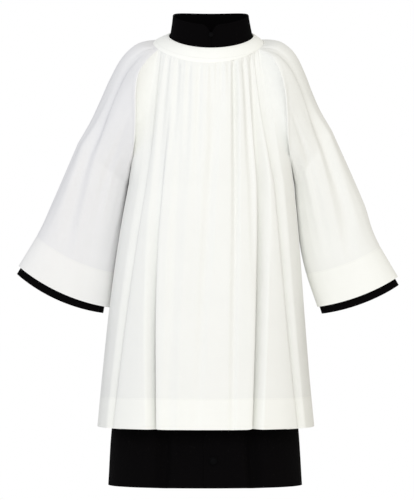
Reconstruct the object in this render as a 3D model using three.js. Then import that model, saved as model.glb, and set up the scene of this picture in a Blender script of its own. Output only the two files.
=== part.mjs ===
// A black cassock worn under its white surplice, filled out as on a wearer and hollow inside.
//
// Millimetres, +Z up. The wearer faces -Y and their left arm is on +X. The origin is in the middle of
// the neck, level with the tops of the shoulders, where the wearer holds both garments up.
//
// Every piece of cloth is a wall of even thickness. A body panel is drawn down from its top edge (the
// neck seam and the two arm seams) to a bust ring and on through level rings to its hem. A sleeve is
// drawn out from its top edge (the same arm seams) through slanted rings to its cuff.
import * as THREE from "three";

// ---------------------------------------------------------------- driving dimensions

const SEAM_GAP = 0.3; // between two pieces that are sewn together
const ROUNDNESS = 2.3; // 2 makes every ring an ellipse, more makes it squarer

// The wearer's turn round the body is a bearing in degrees: 0 front, 90 left, 180 back, -90 right.
const UNDERARM_TURN = 90; // how far a panel reaches to each side of its own middle
const NECK_TURN = 58; // how much of that starts on the neck seam; the rest starts on the arm seams

const SURPLICE = {
  cloth: 1.5,
  turnUp: 1.1, // what the folded hem adds to the cloth, on the inside
  bust: 300, // drop of the first level ring
  hem: 815,
  hemDepth: 65,
  cuffDepth: 0.2, // share of the sleeve below the bust ring that is turned up
};
const CASSOCK = {
  cloth: 2,
  bust: 250,
  waist: 392, // drop of the seam where the skirt starts
  forearm: 1.3, // level of the seam across the sleeve
  hem: 939,
};

// Neck rings: half width, half depth, middle, height at the sides, and how the ring tips and dips
// towards the front.
const BAND_INNER = { shift: 8, half: 90.3, deep: 77, middle: 2, side: 15.5, tilt: 24.5, dip: 5.5 };
const BAND_OUTER = { shift: 2, half: 118, deep: 97, middle: 1.5, side: 0, tilt: 29, dip: 18 };
const BAND = { cloth: 2.4, crown: 2 };
const COLLAR_SEAM = { shift: 8.5, half: 92, deep: 79, middle: 2, side: -2, tilt: 25, dip: 8 };
const COLLAR_TOP = { shift: 7, half: 83.3, deep: 67, middle: 0, side: 58.5, tilt: 15.5, dip: 8.5 };
const COLLAR = { cloth: 3, meet: 0.6, notchWide: 24, notchDeep: 20, flare: 3 };

// The surplice's level rings: drop below the origin, and reach to the right, left, front and back.
const SURPLICE_RINGS = [
  { drop: 270, right: 161, left: 181, front: 142, back: 124 },
  { drop: 410, right: 187, left: 194, front: 154, back: 134 },
  { drop: 560, right: 208, left: 205, front: 165, back: 146 },
  { drop: 700, right: 223, left: 216, front: 176, back: 156 },
  { drop: 815, right: 234, left: 227, front: 187, back: 166 },
];

const CASSOCK_RINGS = [
  { drop: 220, right: 138, left: 146, front: 112, back: 98 },
  { drop: 400, right: 144, left: 148, front: 116, back: 100 },
  { drop: 600, right: 168, left: 166, front: 124, back: 108 },
  { drop: 807, right: 202, left: 192, front: 135, back: 121 },
  { drop: 939, right: 211, left: 201, front: 146, back: 132 },
];

// Arm seams of the surplice, from the neck (run 0, worked out from the neck ring) to the underarm.
const RAGLAN = {
  frontRight: [
    { run: 0.12, x: -127, y: -62, z: -40 },
    { run: 0.24, x: -145, y: -80, z: -70 },
    { run: 0.37, x: -151, y: -93, z: -110 },
    { run: 0.52, x: -151, y: -95, z: -160 },
    { run: 0.69, x: -154, y: -84, z: -215 },
    { run: 0.85, x: -160, y: -45, z: -252 },
    { run: 1, x: -163, y: 0, z: -268 },
  ],
  frontLeft: [
    { run: 0.12, x: 134, y: -62, z: -32 },
    { run: 0.24, x: 152, y: -78, z: -64 },
    { run: 0.37, x: 163, y: -90, z: -104 },
    { run: 0.52, x: 167, y: -93, z: -155 },
    { run: 0.69, x: 170, y: -82, z: -212 },
    { run: 0.85, x: 175, y: -44, z: -250 },
    { run: 1, x: 178, y: 0, z: -266 },
  ],
  backRight: [
    { run: 0.12, x: -118, y: 72, z: -10 },
    { run: 0.24, x: -136, y: 86, z: -42 },
    { run: 0.37, x: -147, y: 96, z: -84 },
    { run: 0.52, x: -152, y: 98, z: -138 },
    { run: 0.69, x: -155, y: 86, z: -198 },
    { run: 0.85, x: -160, y: 45, z: -248 },
    { run: 1, x: -163, y: 0, z: -268 },
  ],
  backLeft: [
    { run: 0.12, x: 124, y: 72, z: -8 },
    { run: 0.24, x: 143, y: 86, z: -38 },
    { run: 0.37, x: 156, y: 96, z: -80 },
    { run: 0.52, x: 163, y: 98, z: -135 },
    { run: 0.69, x: 168, y: 86, z: -195 },
    { run: 0.85, x: 174, y: 45, z: -246 },
    { run: 1, x: 178, y: 0, z: -266 },
  ],
};

const RAGLAN_STARTS = { front: 64, back: 125 }; // bearings on the neck seam

// Half of the cassock's shoulder seam and armhole, for the front left. The rest are its mirror images.
const SHOULDER_AND_ARMHOLE = [
  { run: 0.16, x: 112, y: 0, z: -14 },
  { run: 0.4, x: 160, y: 0, z: -42 },
  { run: 0.56, x: 159, y: -44, z: -78 },
  { run: 0.72, x: 152, y: -62, z: -122 },
  { run: 0.88, x: 146, y: -42, z: -168 },
  { run: 1, x: 144, y: 0, z: -186 },
];
const ARMHOLE_START = 0.4; // the run at the shoulder's tip

// Rings of the surplice's sleeves, from the first whole ring to the cuff: the outer and inner corner
// seen from the front, the ring's middle and half thickness from front to back, and how much lower its
// middle hangs than the line between its corners.
const RIGHT_SLEEVE = [
  { level: 1, outX: -276, outZ: -214, inX: -169, inZ: -306, middle: 22, deep: 61, sag: 0 },
  { level: 1.5, outX: -334, outZ: -345, inX: -187, inZ: -420, middle: 42, deep: 55, sag: 3 },
  { level: 1.8, outX: -362, outZ: -405, inX: -198, inZ: -489, middle: 48, deep: 52, sag: 6 },
  { level: 2, outX: -404, outZ: -475, inX: -207.5, inZ: -564, middle: 50, deep: 50, sag: 14 },
];
const LEFT_SLEEVE = [
  { level: 1, outX: 265, outZ: -186, inX: 185, inZ: -302, middle: 18, deep: 61, sag: 0 },
  { level: 1.5, outX: 331, outZ: -338, inX: 195, inZ: -415, middle: 30, deep: 56, sag: 3 },
  { level: 1.8, outX: 358, outZ: -415, inX: 209, inZ: -486, middle: 25, deep: 54, sag: 5 },
  { level: 2, outX: 405, outZ: -498, inX: 234, inZ: -562, middle: 16, deep: 51, sag: 9 },
];
// How the cloth rounds the shoulder between the neck and the first whole ring of a sleeve.
const SHOULDER = [
  { level: 0, lift: 0, swell: 0 },
  { level: 0.06, lift: 17, swell: 1 },
  { level: 0.13, lift: 28, swell: 2 },
  { level: 0.27, lift: 34, swell: 4 },
  { level: 0.45, lift: 27, swell: 5 },
  { level: 0.62, lift: 16, swell: 5 },
  { level: 0.8, lift: 6, swell: 3 },
  { level: 1, lift: 0, swell: 0 },
];
const SHOULDER_WIDE = 34; // degrees of a sleeve ring, each way from its top, that start on the neck seam
// Insets of the cassock's sleeve. It is flatter too, and its right cuff is drawn in at the underarm.
const INNER_SLEEVE = { atFirst: 14, atCuff: 3.8, rightUnderarm: 9, flatter: 3.5, beyond: 17 };

// Folds of a panel: where each runs (turn from the panel's middle at the neck, bust and hem), how deep
// it sinks there, its half width of cloth, and how tightly its mouth is pinched.
const FRONT_FOLDS = [
  { neck: -56, bust: -53, hem: -60, sinkNeck: 2, sinkBust: 9, sinkHem: 21, half: 19, pinch: 0.16 },
  { neck: -36, bust: -36, hem: -25.5, sinkNeck: 3, sinkBust: 12, sinkHem: 44, half: 17, pinch: 0.25 },
  { neck: -28, bust: -19, hem: -17, sinkNeck: 2, sinkBust: 4, sinkHem: 3, half: 20, pinch: 0 },
  { neck: 8, bust: 1, hem: -4, sinkNeck: 2, sinkBust: 6, sinkHem: 1, half: 17, pinch: 0 },
  { neck: 21, bust: 14.5, hem: 10, sinkNeck: 3, sinkBust: 8, sinkHem: 3, half: 17, pinch: 0.05 },
  { neck: 39, bust: 34.5, hem: 23.2, sinkNeck: 3, sinkBust: 19, sinkHem: 44, half: 18, pinch: 0.23 },
  { neck: 55, bust: 52, hem: 59, sinkNeck: 2, sinkBust: 15, sinkHem: 26, half: 22, pinch: 0.14 },
];
const BACK_FOLDS = [
  { neck: -52, bust: -55, hem: -61, sinkNeck: 2, sinkBust: 10, sinkHem: 22, half: 20, pinch: 0.15 },
  { neck: -34, bust: -32, hem: -36, sinkNeck: 2, sinkBust: 13, sinkHem: 34, half: 18, pinch: 0.22 },
  { neck: -14, bust: -13, hem: -12, sinkNeck: 2, sinkBust: 7, sinkHem: 13, half: 19, pinch: 0.05 },
  { neck: 10, bust: 9, hem: 12, sinkNeck: 3, sinkBust: 12, sinkHem: 36, half: 18, pinch: 0.22 },
  { neck: 30, bust: 30, hem: 33, sinkNeck: 2, sinkBust: 7, sinkHem: 15, half: 19, pinch: 0.05 },
  { neck: 50, bust: 54, hem: 59, sinkNeck: 2, sinkBust: 11, sinkHem: 23, half: 20, pinch: 0.15 },
];
const SKIRT_FOLDS = [
  { neck: -20, bust: -20, hem: -24, sinkNeck: 0, sinkBust: 0, sinkHem: 15, half: 26, pinch: 0.05 },
  { neck: 20, bust: 20, hem: 27, sinkNeck: 0, sinkBust: 0, sinkHem: 17, half: 26, pinch: 0.05 },
];

// Gathers where a panel is drawn up on to the neck band: how many, how high they stand at the seam and
// just below it, how uneven their spacing is, and the side where they are fuller.
const FRONT_GATHERS = { count: 17, atSeam: 1.1, below: 2.6, uneven: 0.3, fuller: 0.35 };
const BACK_GATHERS = { count: 15, atSeam: 1.1, below: 2.4, uneven: 0.22, fuller: -0.2 };
const GATHERS_FADE = 0.85; // the level where they have died out
const BODY_SLOPE = 0.5; // how far the body comes out below a neck seam for each millimetre down

// A long hollow down the front and the back of each sleeve: its turn round the sleeve at the shoulder,
// the first whole ring and the cuff, and its depth there.
const SLEEVE_FOLDS = [
  { neck: 30, bust: 62, hem: 84, sinkNeck: 0, sinkBust: 11, sinkHem: 0, half: 24, pinch: 0.05 },
  { neck: -30, bust: -70, hem: -90, sinkNeck: 0, sinkBust: 9, sinkHem: 0, half: 26, pinch: 0 },
  { neck: 130, bust: 128, hem: 132, sinkNeck: 0, sinkBust: 5, sinkHem: 2, half: 28, pinch: 0 },
];

// The cassock's front opening. The left front laps over the right one and the buttons follow its edge.
const OPENING = { edge: -8, underlap: 32, lap: 2.5, lapEase: 34 };
const BUTTON = { diameter: 16, thick: 4.5, dish: 0.8, rim: 1.6, x: 12 };
const BUTTON_DROPS = { first: 122, last: 882, count: 8 };
const COLLAR_BUTTON = { diameter: 10, up: 0.68 }; // up the collar from its seam, as a share

// How finely the cloth is cut up.
const GATHER_STEPS = 4; // columns for each gather
const BUTTON_SIDES = 12;
const SEAM_STEPS = 9; // columns along each arm seam
const SHOULDER_STEPS = 5; // columns of a sleeve along the neck seam
const GATHER_LEVELS = [0, 0.05, 0.14, 0.28, 0.46, 0.68];
const PANEL_DROPS = [300, 365, 435, 505, 575, 640, 700, 750, 783, 815];
const SLEEVE_LEVELS = [0, 0.06, 0.14, 0.27, 0.42, 0.6, 0.8, 1, 1.2, 1.4, 1.6, 1.8, 1.9, 2];
const FOLD_COLUMNS = [-1, -0.6, -0.28, 0, 0.28, 0.6, 1]; // shares of a fold's half width
const PLAIN_STEP = 7; // degrees between columns where nothing is folded

// ---------------------------------------------------------------- small helpers

const vec = (x, y, z) => new THREE.Vector3(x, y, z);
const radians = THREE.MathUtils.degToRad;
const { lerp, clamp } = THREE.MathUtils;
const squarer = (value) => Math.sign(value) * Math.abs(value) ** (2 / ROUNDNESS);
const range = (from, to, steps) =>
  Array.from({ length: steps + 1 }, (_, i) => from + ((to - from) * i) / steps);

// A smooth value of one column between the rows of a table whose key column rises.
function along(table, key, at, column) {
  const last = table.length - 1;
  const next = table.findIndex((row) => row[key] > at);
  const i = next < 0 ? last - 1 : Math.max(next - 1, 0);
  const slope = (j) => {
    const a = table[Math.max(j - 1, 0)];
    const b = table[Math.min(j + 1, last)];
    return (b[column] - a[column]) / (b[key] - a[key]);
  };
  const [from, to] = [table[i], table[i + 1]];
  const span = to[key] - from[key];
  const s = clamp((at - from[key]) / span, 0, 1);
  const ease = s * s * (3 - 2 * s);
  return (
    lerp(from[column], to[column], ease) +
    span * (slope(i) * s * (1 - s) ** 2 - slope(i + 1) * s * s * (1 - s))
  );
}

const pointAlong = (table, key, at) => vec(...["x", "y", "z"].map((c) => along(table, key, at, c)));

// A fold's or hollow's value at a level: 0 neck, 1 bust, 2 hem.
function foldValue(neck, bust, hem, level) {
  const table = [
    { level: 0, value: neck },
    { level: 1, value: bust },
    { level: 2, value: hem },
  ];
  return along(table, "level", level, "value");
}

// A point of a neck ring at a bearing.
function neckPoint(ring, bearing) {
  const across = Math.sin(radians(bearing));
  const ahead = Math.cos(radians(bearing));
  return vec(
    ring.shift + ring.half * across,
    ring.middle - ring.deep * ahead,
    ring.side - ring.tilt * ahead - ring.dip * ahead * ahead,
  );
}

// A point of a level ring at a bearing.
function ringPoint(rings, drop, bearing) {
  const across = squarer(Math.sin(radians(bearing)));
  const ahead = squarer(Math.cos(radians(bearing)));
  return vec(
    across * along(rings, "drop", drop, across > 0 ? "left" : "right"),
    -ahead * along(rings, "drop", drop, ahead > 0 ? "front" : "back"),
    -drop,
  );
}

// How far the folds move a point in from the surface and along its row.
function foldShift(folds, turn, level, perDegree) {
  let sink = 0;
  let slide = 0;
  for (const f of folds) {
    const s = ((turn - foldValue(f.neck, f.bust, f.hem, level)) * perDegree) / f.half;
    if (Math.abs(s) >= 1) continue;
    sink += foldValue(f.sinkNeck, f.sinkBust, f.sinkHem, level) * Math.cos((Math.PI * s) / 2) ** 2;
    slide -= 3.5 * f.pinch * f.half * s * (1 - s * s) ** 2;
  }
  return { sink, slide };
}

// Which gather a turn lies in, as a number that rises by one from gather to gather.
function gatherPhase(gathers, turn) {
  const x = (turn + NECK_TURN) / (2 * NECK_TURN);
  return (
    gathers.count * x +
    gathers.uneven * (Math.sin(4 * Math.PI * x + 0.7) + 0.45 * Math.sin(10 * Math.PI * x + 2))
  );
}

// How high the gathers lift a point off the surface.
function gatherLift(gathers, turn, level) {
  if (Math.abs(turn) > NECK_TURN || level >= GATHERS_FADE) return 0;
  const fade = 1 - level / GATHERS_FADE;
  const rise = clamp(level / 0.05, 0, 1);
  const edge = clamp((NECK_TURN - Math.abs(turn)) / 6, 0, 1);
  const height = lerp(gathers.atSeam, gathers.below, rise) * fade * edge;
  const fuller = 1 + (gathers.fuller * turn) / NECK_TURN;
  return height * fuller * (1 - rise + Math.cos(2 * Math.PI * gatherPhase(gathers, turn)));
}

// The turns where the gathers pass each quarter of a wave.
function gatherTurns(gathers) {
  const first = gatherPhase(gathers, -NECK_TURN);
  const total = gatherPhase(gathers, NECK_TURN) - first;
  return range(0, 1, gathers.count * GATHER_STEPS).map((share) => {
    let [low, high] = [-NECK_TURN, NECK_TURN];
    for (let i = 0; i < 40; i++) {
      const middle = (low + high) / 2;
      if (gatherPhase(gathers, middle) - first < share * total) low = middle;
      else high = middle;
    }
    return (low + high) / 2;
  });
}

// ---------------------------------------------------------------- surfaces

// The arm seam that a panel's top edge follows beyond the neck, at a run from the neck to the underarm.
function surpliceSeam(facing, side, run) {
  const name = (facing === 0 ? "front" : "back") + (side > 0 ? "Left" : "Right");
  const start = neckPoint(BAND_OUTER, side * (facing === 0 ? RAGLAN_STARTS.front : RAGLAN_STARTS.back));
  return pointAlong([{ run: 0, x: start.x, y: start.y, z: start.z }, ...RAGLAN[name]], "run", run);
}

function cassockSeam(facing, side, run) {
  const start = neckPoint(COLLAR_SEAM, 90);
  const half = [{ run: 0, x: start.x, y: start.y, z: start.z }, ...SHOULDER_AND_ARMHOLE];
  const p = pointAlong(half, "run", run);
  const lean = lerp(2 * COLLAR_SEAM.shift, 0, clamp(run / ARMHOLE_START, 0, 1));
  const y = Math.min(p.y, 0);
  return vec(side > 0 ? p.x : lean - p.x, facing === 0 ? y : -y, p.z);
}

const SURPLICE_BODY = {
  seam: surpliceSeam,
  neck: BAND_OUTER,
  upper: BAND_INNER,
  neckSpan: { front: RAGLAN_STARTS.front, back: 180 - RAGLAN_STARTS.back },
  rings: SURPLICE_RINGS,
  bust: SURPLICE.bust,
  hem: SURPLICE.hem,
};
const CASSOCK_BODY = {
  seam: cassockSeam,
  neck: COLLAR_SEAM,
  upper: COLLAR_TOP,
  neckSpan: { front: 90, back: 90 },
  rings: CASSOCK_RINGS,
  bust: CASSOCK.bust,
  hem: CASSOCK.hem,
};

const sideOf = (panel, turn) => (panel.facing === 0 ? Math.sign(turn) : -Math.sign(turn)) || 1;

// The bearing on the neck seam where a column of a panel starts.
function topBearing(panel, turn) {
  const { front, back } = panel.body.neckSpan;
  return panel.facing + (turn * (panel.facing === 0 ? front : back)) / NECK_TURN;
}

// A point of a panel's top edge.
function topPoint(panel, turn) {
  if (Math.abs(turn) <= NECK_TURN) return neckPoint(panel.body.neck, topBearing(panel, turn));
  const run = (Math.abs(turn) - NECK_TURN) / (UNDERARM_TURN - NECK_TURN);
  return panel.body.seam(panel.facing, sideOf(panel, turn), run);
}

// A point of a panel before it is folded. Levels 0 to 1 run from the top edge to the bust ring, and
// levels 1 to 2 from there to the hem.
function smoothPanel(panel, turn, level) {
  const { rings, bust, hem } = panel.body;
  const ring = ringPoint(rings, level <= 1 ? bust : lerp(bust, hem, level - 1), panel.facing + turn);
  if (level >= 1) return ring;
  const top = topPoint(panel, turn);
  return vec(
    lerp(top.x, ring.x, level),
    lerp(top.y, ring.y, 1 - (1 - level) ** 2),
    lerp(top.z, ring.z, level),
  );
}

// The row direction and outward normal of a surface given as a function of turn and level. Its hand is
// 1 where the turn runs clockwise round it, looking the way it falls, and -1 where it runs the other way.
function frameOf(surface, turn, level, hand = -1) {
  const [a, b] = [surface(turn - 0.5, level), surface(turn + 0.5, level)];
  const [c, d] = [surface(turn, Math.max(level - 0.02, 0)), surface(turn, Math.min(level + 0.02, 2))];
  const row = b.sub(a);
  const perDegree = row.length();
  const normal = row.clone().cross(d.sub(c)).multiplyScalar(hand).normalize();
  return { row: row.normalize(), normal, perDegree };
}

// A point of a surface with its folds and gathers.
function foldedPoint(surface, folds, gathers, turn, level, hand = -1) {
  const { row, normal, perDegree } = frameOf(surface, turn, level, hand);
  const { sink, slide } = foldShift(folds, turn, level, perDegree);
  const lift = gathers ? gatherLift(gathers, turn, level) : 0;
  return surface(turn, level).addScaledVector(normal, lift - sink).addScaledVector(row, slide);
}

// A point of a sleeve before it is folded. Turn is measured round the sleeve: 0 along the top of the
// arm, 90 at the front, 180 at the underarm, -90 at the back. Levels are as for a panel.
function smoothSleeve(sleeve, turn, level) {
  const wrapped = turn > 180 ? turn - 360 : turn < -180 ? turn + 360 : turn;
  const ring = sleeveRing(sleeve, wrapped, Math.max(level, 1));
  if (level >= 1) return ring;
  const top = sleeve.top(wrapped);
  const lift = along(SHOULDER, "level", level, "lift") * sleeve.rounding;
  const swell = along(SHOULDER, "level", level, "swell");
  const over = Math.max(Math.cos(radians(wrapped)), 0) ** 1.5;
  return top
    .lerp(ring, level)
    .addScaledVector(vec(0.72 * sleeve.side, 0, 0.69), lift * over)
    .addScaledVector(vec(0, -1, 0), swell * Math.sin(radians(wrapped)));
}

// A point of a sleeve's slanted ring.
function sleeveRing(sleeve, turn, level) {
  const read = (column) => along(sleeve.rings, "level", level, column);
  const outer = vec(read("outX"), read("middle"), read("outZ"));
  const inner = vec(read("inX"), read("middle"), read("inZ"));
  const across = squarer(Math.cos(radians(turn)));
  const ahead = squarer(Math.sin(radians(turn)));
  const half = outer.clone().sub(inner).multiplyScalar(0.5);
  const down = vec(half.z, 0, -half.x).normalize().multiplyScalar(sleeve.side);
  return outer
    .add(inner)
    .multiplyScalar(0.5)
    .addScaledVector(half, across)
    .addScaledVector(vec(0, -1, 0), read("deep") * ahead)
    .addScaledVector(down, read("sag") * (1 - across * across));
}

// The top edge of the surplice's sleeve: the neck band over the shoulder, and both raglan seams.
function raglanTop(side) {
  return (turn) => {
    const facing = turn >= 0 ? 0 : 180;
    const size = Math.abs(turn);
    if (size > SHOULDER_WIDE) {
      return surpliceSeam(facing, side, (size - SHOULDER_WIDE) / (180 - SHOULDER_WIDE));
    }
    return neckPoint(BAND_OUTER, side * shoulderBearing(turn));
  };
}

// The bearing on the neck seam where a column of a raglan sleeve starts.
function shoulderBearing(turn) {
  const { front, back } = RAGLAN_STARTS;
  return lerp((front + back) / 2, turn >= 0 ? front : back, Math.abs(turn) / SHOULDER_WIDE);
}

// The top edge of the cassock's sleeve: its armhole.
function armholeTop(side) {
  return (turn) =>
    cassockSeam(turn >= 0 ? 0 : 180, side, lerp(ARMHOLE_START, 1, Math.abs(turn) / 180));
}

// The cassock's sleeve rings: the surplice's, drawn in, and carried on beyond its cuff.
function innerRings(rings, underarmAtCuff) {
  return rings.map((r) => {
    const { atFirst, atCuff, flatter, beyond } = INNER_SLEEVE;
    const inset = lerp(atFirst, atCuff, r.level - 1);
    const underarm = lerp(atFirst, underarmAtCuff, r.level - 1);
    const across = vec(r.outX - r.inX, 0, r.outZ - r.inZ).normalize();
    const further = r.level === 2 ? beyond : 0;
    const down = vec(across.z, 0, -across.x).multiplyScalar(Math.sign(r.outX) * further);
    return {
      ...r,
      outX: r.outX - across.x * inset + down.x,
      outZ: r.outZ - across.z * inset + down.z,
      inX: r.inX + across.x * underarm + down.x,
      inZ: r.inZ + across.z * underarm + down.z,
      deep: r.deep - inset - flatter,
    };
  });
}

// ---------------------------------------------------------------- solids

// The triangles between two rows of columns, each row an array of { at, index } with at rising.
function zip(upper, lower, faces) {
  let [i, j] = [0, 0];
  while (i < upper.length - 1 || j < lower.length - 1) {
    const moveUpper =
      j === lower.length - 1 || (i < upper.length - 1 && upper[i + 1].at <= lower[j + 1].at);
    const third = moveUpper ? upper[i + 1] : lower[j + 1];
    faces.push([upper[i].index, third.index, lower[j].index]);
    if (moveUpper) i++;
    else j++;
  }
}

// Normals at the points of a triangle mesh, weighted by the area round each point.
function meshNormals(points, faces) {
  const normals = points.map(() => vec(0, 0, 0));
  for (const [a, b, c] of faces) {
    const n = points[b].clone().sub(points[a]).cross(points[c].clone().sub(points[a]));
    for (const i of [a, b, c]) normals[i].add(n);
  }
  return normals.map((n) => n.normalize());
}

// A closed wall on a surface. Rows run from the top edge down; each holds { at, point, thick, normal },
// where normal, if given, is shared with the neighbour across a seam. A ring's rows join end to end.
function wall(rows, isRing, hand = -1) {
  const outer = [];
  const grid = rows.map((row) => row.map((v) => ({ at: v.at, index: outer.push(v.point) - 1 })));
  if (isRing) grid.forEach((row) => row.push({ at: row[0].at + 360, index: row[0].index }));
  const skin = [];
  for (let r = 0; r + 1 < grid.length; r++) zip(grid[r], grid[r + 1], skin);

  const flat = rows.flat();
  const own = meshNormals(outer, skin);
  const inner = flat.map((v, i) => {
    const normal = v.normal ?? own[i].clone().multiplyScalar(hand);
    return v.point.clone().addScaledVector(normal, -v.thick);
  });

  const count = outer.length;
  const faces = [...skin, ...skin.map(([a, b, c]) => [a + count, c + count, b + count])];
  const rim = (loop) => {
    for (let i = 0; i + 1 < loop.length; i++) {
      const [a, b] = [loop[i], loop[i + 1]];
      faces.push([a, a + count, b + count], [a, b + count, b]);
    }
  };
  const top = grid[0].map((v) => v.index);
  const bottom = grid[grid.length - 1].map((v) => v.index);
  const start = grid.map((row) => row[0].index);
  const end = grid.map((row) => row[row.length - 1].index);
  if (isRing) {
    rim(top);
    rim([...bottom].reverse());
  } else {
    rim([...top, ...end.slice(1), ...[...bottom].reverse().slice(1), ...[...start].reverse().slice(1)]);
  }
  return solid([...outer, ...inner], faces);
}

// A BufferGeometry of points and faces, turned so that its faces point out.
function solid(points, faces) {
  let volume = 0;
  for (const [a, b, c] of faces) {
    volume += points[a].dot(points[b].clone().cross(points[c]));
  }
  const turned = volume < 0 ? faces.map(([a, b, c]) => [a, c, b]) : faces;
  const geometry = new THREE.BufferGeometry().setFromPoints(points);
  geometry.setIndex(turned.flat());
  geometry.computeVertexNormals();
  return geometry;
}

// Pulls the edge of a piece back from a seam, towards the point next to it.
function pullBack(edge, next, gap) {
  edge.point.lerp(next.point, gap / edge.point.distanceTo(next.point));
}

function pullBackEdges(rows, gap, isRing, hemToo = false) {
  const nearest = (row, v) => row.reduce((a, b) => (Math.abs(b.at - v.at) < Math.abs(a.at - v.at) ? b : a));
  rows[0].forEach((v) => pullBack(v, nearest(rows[1], v), gap));
  if (hemToo) rows[rows.length - 1].forEach((v) => pullBack(v, nearest(rows[rows.length - 2], v), gap));
  if (isRing) return;
  for (const row of rows) {
    pullBack(row[0], row[1], gap);
    pullBack(row[row.length - 1], row[row.length - 2], gap);
  }
}

// The normal that two pieces share along the seam through a point: square to the seam, and to the way
// across it from one surface to the other.
function seamNormal(before, after, thisSide, otherSide, outward) {
  const normal = after.clone().sub(before).cross(otherSide.clone().sub(thisSide)).normalize();
  return normal.dot(outward) < 0 ? normal.negate() : normal;
}

// The same for a neck seam, where a collar or band that comes down from an upper ring meets the body.
function neckSeamNormal(seam, upper, bearing) {
  const here = neckPoint(seam, bearing);
  const outward = vec(here.x - seam.shift, here.y - seam.middle, 0).normalize();
  const collarFalls = here.clone().sub(neckPoint(upper, bearing)).normalize();
  const bodyFalls = outward.clone().multiplyScalar(BODY_SLOPE).add(vec(0, 0, -1)).normalize();
  return seamNormal(
    neckPoint(seam, bearing - 2),
    neckPoint(seam, bearing + 2),
    here,
    here.clone().add(collarFalls).add(bodyFalls),
    outward.add(vec(0, 0, 0.5)),
  );
}

// ---------------------------------------------------------------- body panels

// The columns of a panel's lower rows: closer together in its folds.
function foldTurns(panel, level) {
  const turns = range(-UNDERARM_TURN, UNDERARM_TURN, Math.round((2 * UNDERARM_TURN) / PLAIN_STEP));
  const inFolds = [];
  for (const f of panel.folds) {
    const middle = foldValue(f.neck, f.bust, f.hem, level);
    const { perDegree } = frameOf((t, l) => smoothPanel(panel, t, l), middle, level);
    const reach = f.half / perDegree;
    const steps = f.pinch > 0.1 ? FOLD_COLUMNS : [-1, 0, 1];
    inFolds.push(...steps.map((share) => middle + share * reach));
  }
  const near = (turn) => inFolds.some((t) => Math.abs(t - turn) < PLAIN_STEP * 0.45);
  const plain = turns.filter((t) => Math.abs(t) === UNDERARM_TURN || !near(t));
  return [...plain, ...inFolds.filter((t) => Math.abs(t) < UNDERARM_TURN)].sort((a, b) => a - b);
}

// The columns of a panel's gathered rows.
function gatheredTurns(panel) {
  const seam = range(NECK_TURN, UNDERARM_TURN, SEAM_STEPS).slice(1);
  return [...seam.map((t) => -t).reverse(), ...gatherTurns(panel.gathers), ...seam];
}

// The normal shared with the next piece, at a panel's side seams and arm seams.
function panelSeamNormal(panel, turn, level) {
  const surface = (t, l) => smoothPanel(panel, t, l);
  const side = sideOf(panel, turn);
  const outward = vec(side, 0, 0.2);
  if (Math.abs(turn) === UNDERARM_TURN) {
    const fall = surface(turn, Math.min(level + 0.05, 2)).sub(surface(turn, Math.max(level - 0.05, 0)));
    const normal = fall.cross(vec(0, 1, 0)).normalize();
    return normal.dot(outward) < 0 ? normal.negate() : normal;
  }
  if (level > 0) return undefined;
  if (Math.abs(turn) <= NECK_TURN) {
    const { neck, upper } = panel.body;
    return neckSeamNormal(neck, upper, topBearing(panel, turn));
  }
  return armSeamNormal(panel, side, (Math.abs(turn) - NECK_TURN) / (UNDERARM_TURN - NECK_TURN));
}

// The normal shared at a run along the arm seam or the shoulder seam, for both of the pieces it joins.
// Where a set-in sleeve stands square to the panel, it leans towards the panel's own normal.
function armSeamNormal(panel, side, run) {
  const { body, facing, sleeves } = panel;
  const before = body.seam(facing, side, Math.max(run - 0.02, 0));
  const after = body.seam(facing, side, Math.min(run + 0.02, 1));
  const turnOn = (of) =>
    (side > 0 === (of.facing === 0) ? 1 : -1) * lerp(NECK_TURN, UNDERARM_TURN, run);
  const below = (of) => smoothPanel(of, turnOn(of), 0.05);
  if (run < sleeves.startRun) {
    const [front, back] = facing === 0 ? [panel, panel.mate] : [panel.mate, panel];
    return seamNormal(before, after, below(front), below(back), vec(0, 0, 1));
  }
  const sleeve = side > 0 ? sleeves.left : sleeves.right;
  const sleeveTurn = (facing === 0 ? 1 : -1) * sleeve.fromRun(run);
  const outward = vec(0.8 * side, facing === 0 ? -0.5 : 0.5, 0.3);
  const normal = seamNormal(before, after, below(panel), smoothSleeve(sleeve, sleeveTurn, 0.08), outward);
  const onPanel = frameOf((t, l) => smoothPanel(panel, t, l), turnOn(panel), 0.04);
  return normal.addScaledVector(onPanel.normal, sleeve.towardsPanel).normalize();
}

function panelRows(panel, levels, turnsAt, thickAt) {
  const surface = (t, l) => smoothPanel(panel, t, l);
  return levels.map((level) =>
    turnsAt(level).map((turn) => {
      const calm = level === 0 || Math.abs(turn) === UNDERARM_TURN;
      const gathers = Math.abs(turn) < NECK_TURN ? panel.gathers : undefined;
      const folds = calm ? [] : panel.folds;
      return {
        at: turn,
        point: foldedPoint(surface, folds, gathers, turn, level),
        thick: thickAt(level),
        normal: panelSeamNormal(panel, turn, level),
      };
    }),
  );
}

function surplicePanel(panel) {
  const { bust, hem, hemDepth, cloth, turnUp } = SURPLICE;
  const lower = PANEL_DROPS.map((drop) => 1 + (drop - bust) / (hem - bust));
  const turnedUp = 1 + (hem - hemDepth - 1 - bust) / (hem - bust);
  const gathered = gatheredTurns(panel);
  const rows = panelRows(
    panel,
    [...GATHER_LEVELS, ...lower],
    (level) => (level < 1 ? gathered : foldTurns(panel, level)),
    (level) => (level > turnedUp ? cloth + turnUp : cloth),
  );
  pullBackEdges(rows, SEAM_GAP * 0.7, false);
  return wall(rows, false);
}

// ---------------------------------------------------------------- sleeves

function sleeveRows(sleeve, turns, levels, folds, thickAt, normalAt) {
  const surface = (t, l) => smoothSleeve(sleeve, t, l);
  return levels.map((level) =>
    turns.map((turn) => ({
      at: turn,
      point: foldedPoint(surface, level === 0 ? [] : folds, undefined, turn, level, sleeve.side),
      thick: thickAt(level),
      normal: normalAt(turn, level),
    })),
  );
}

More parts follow.
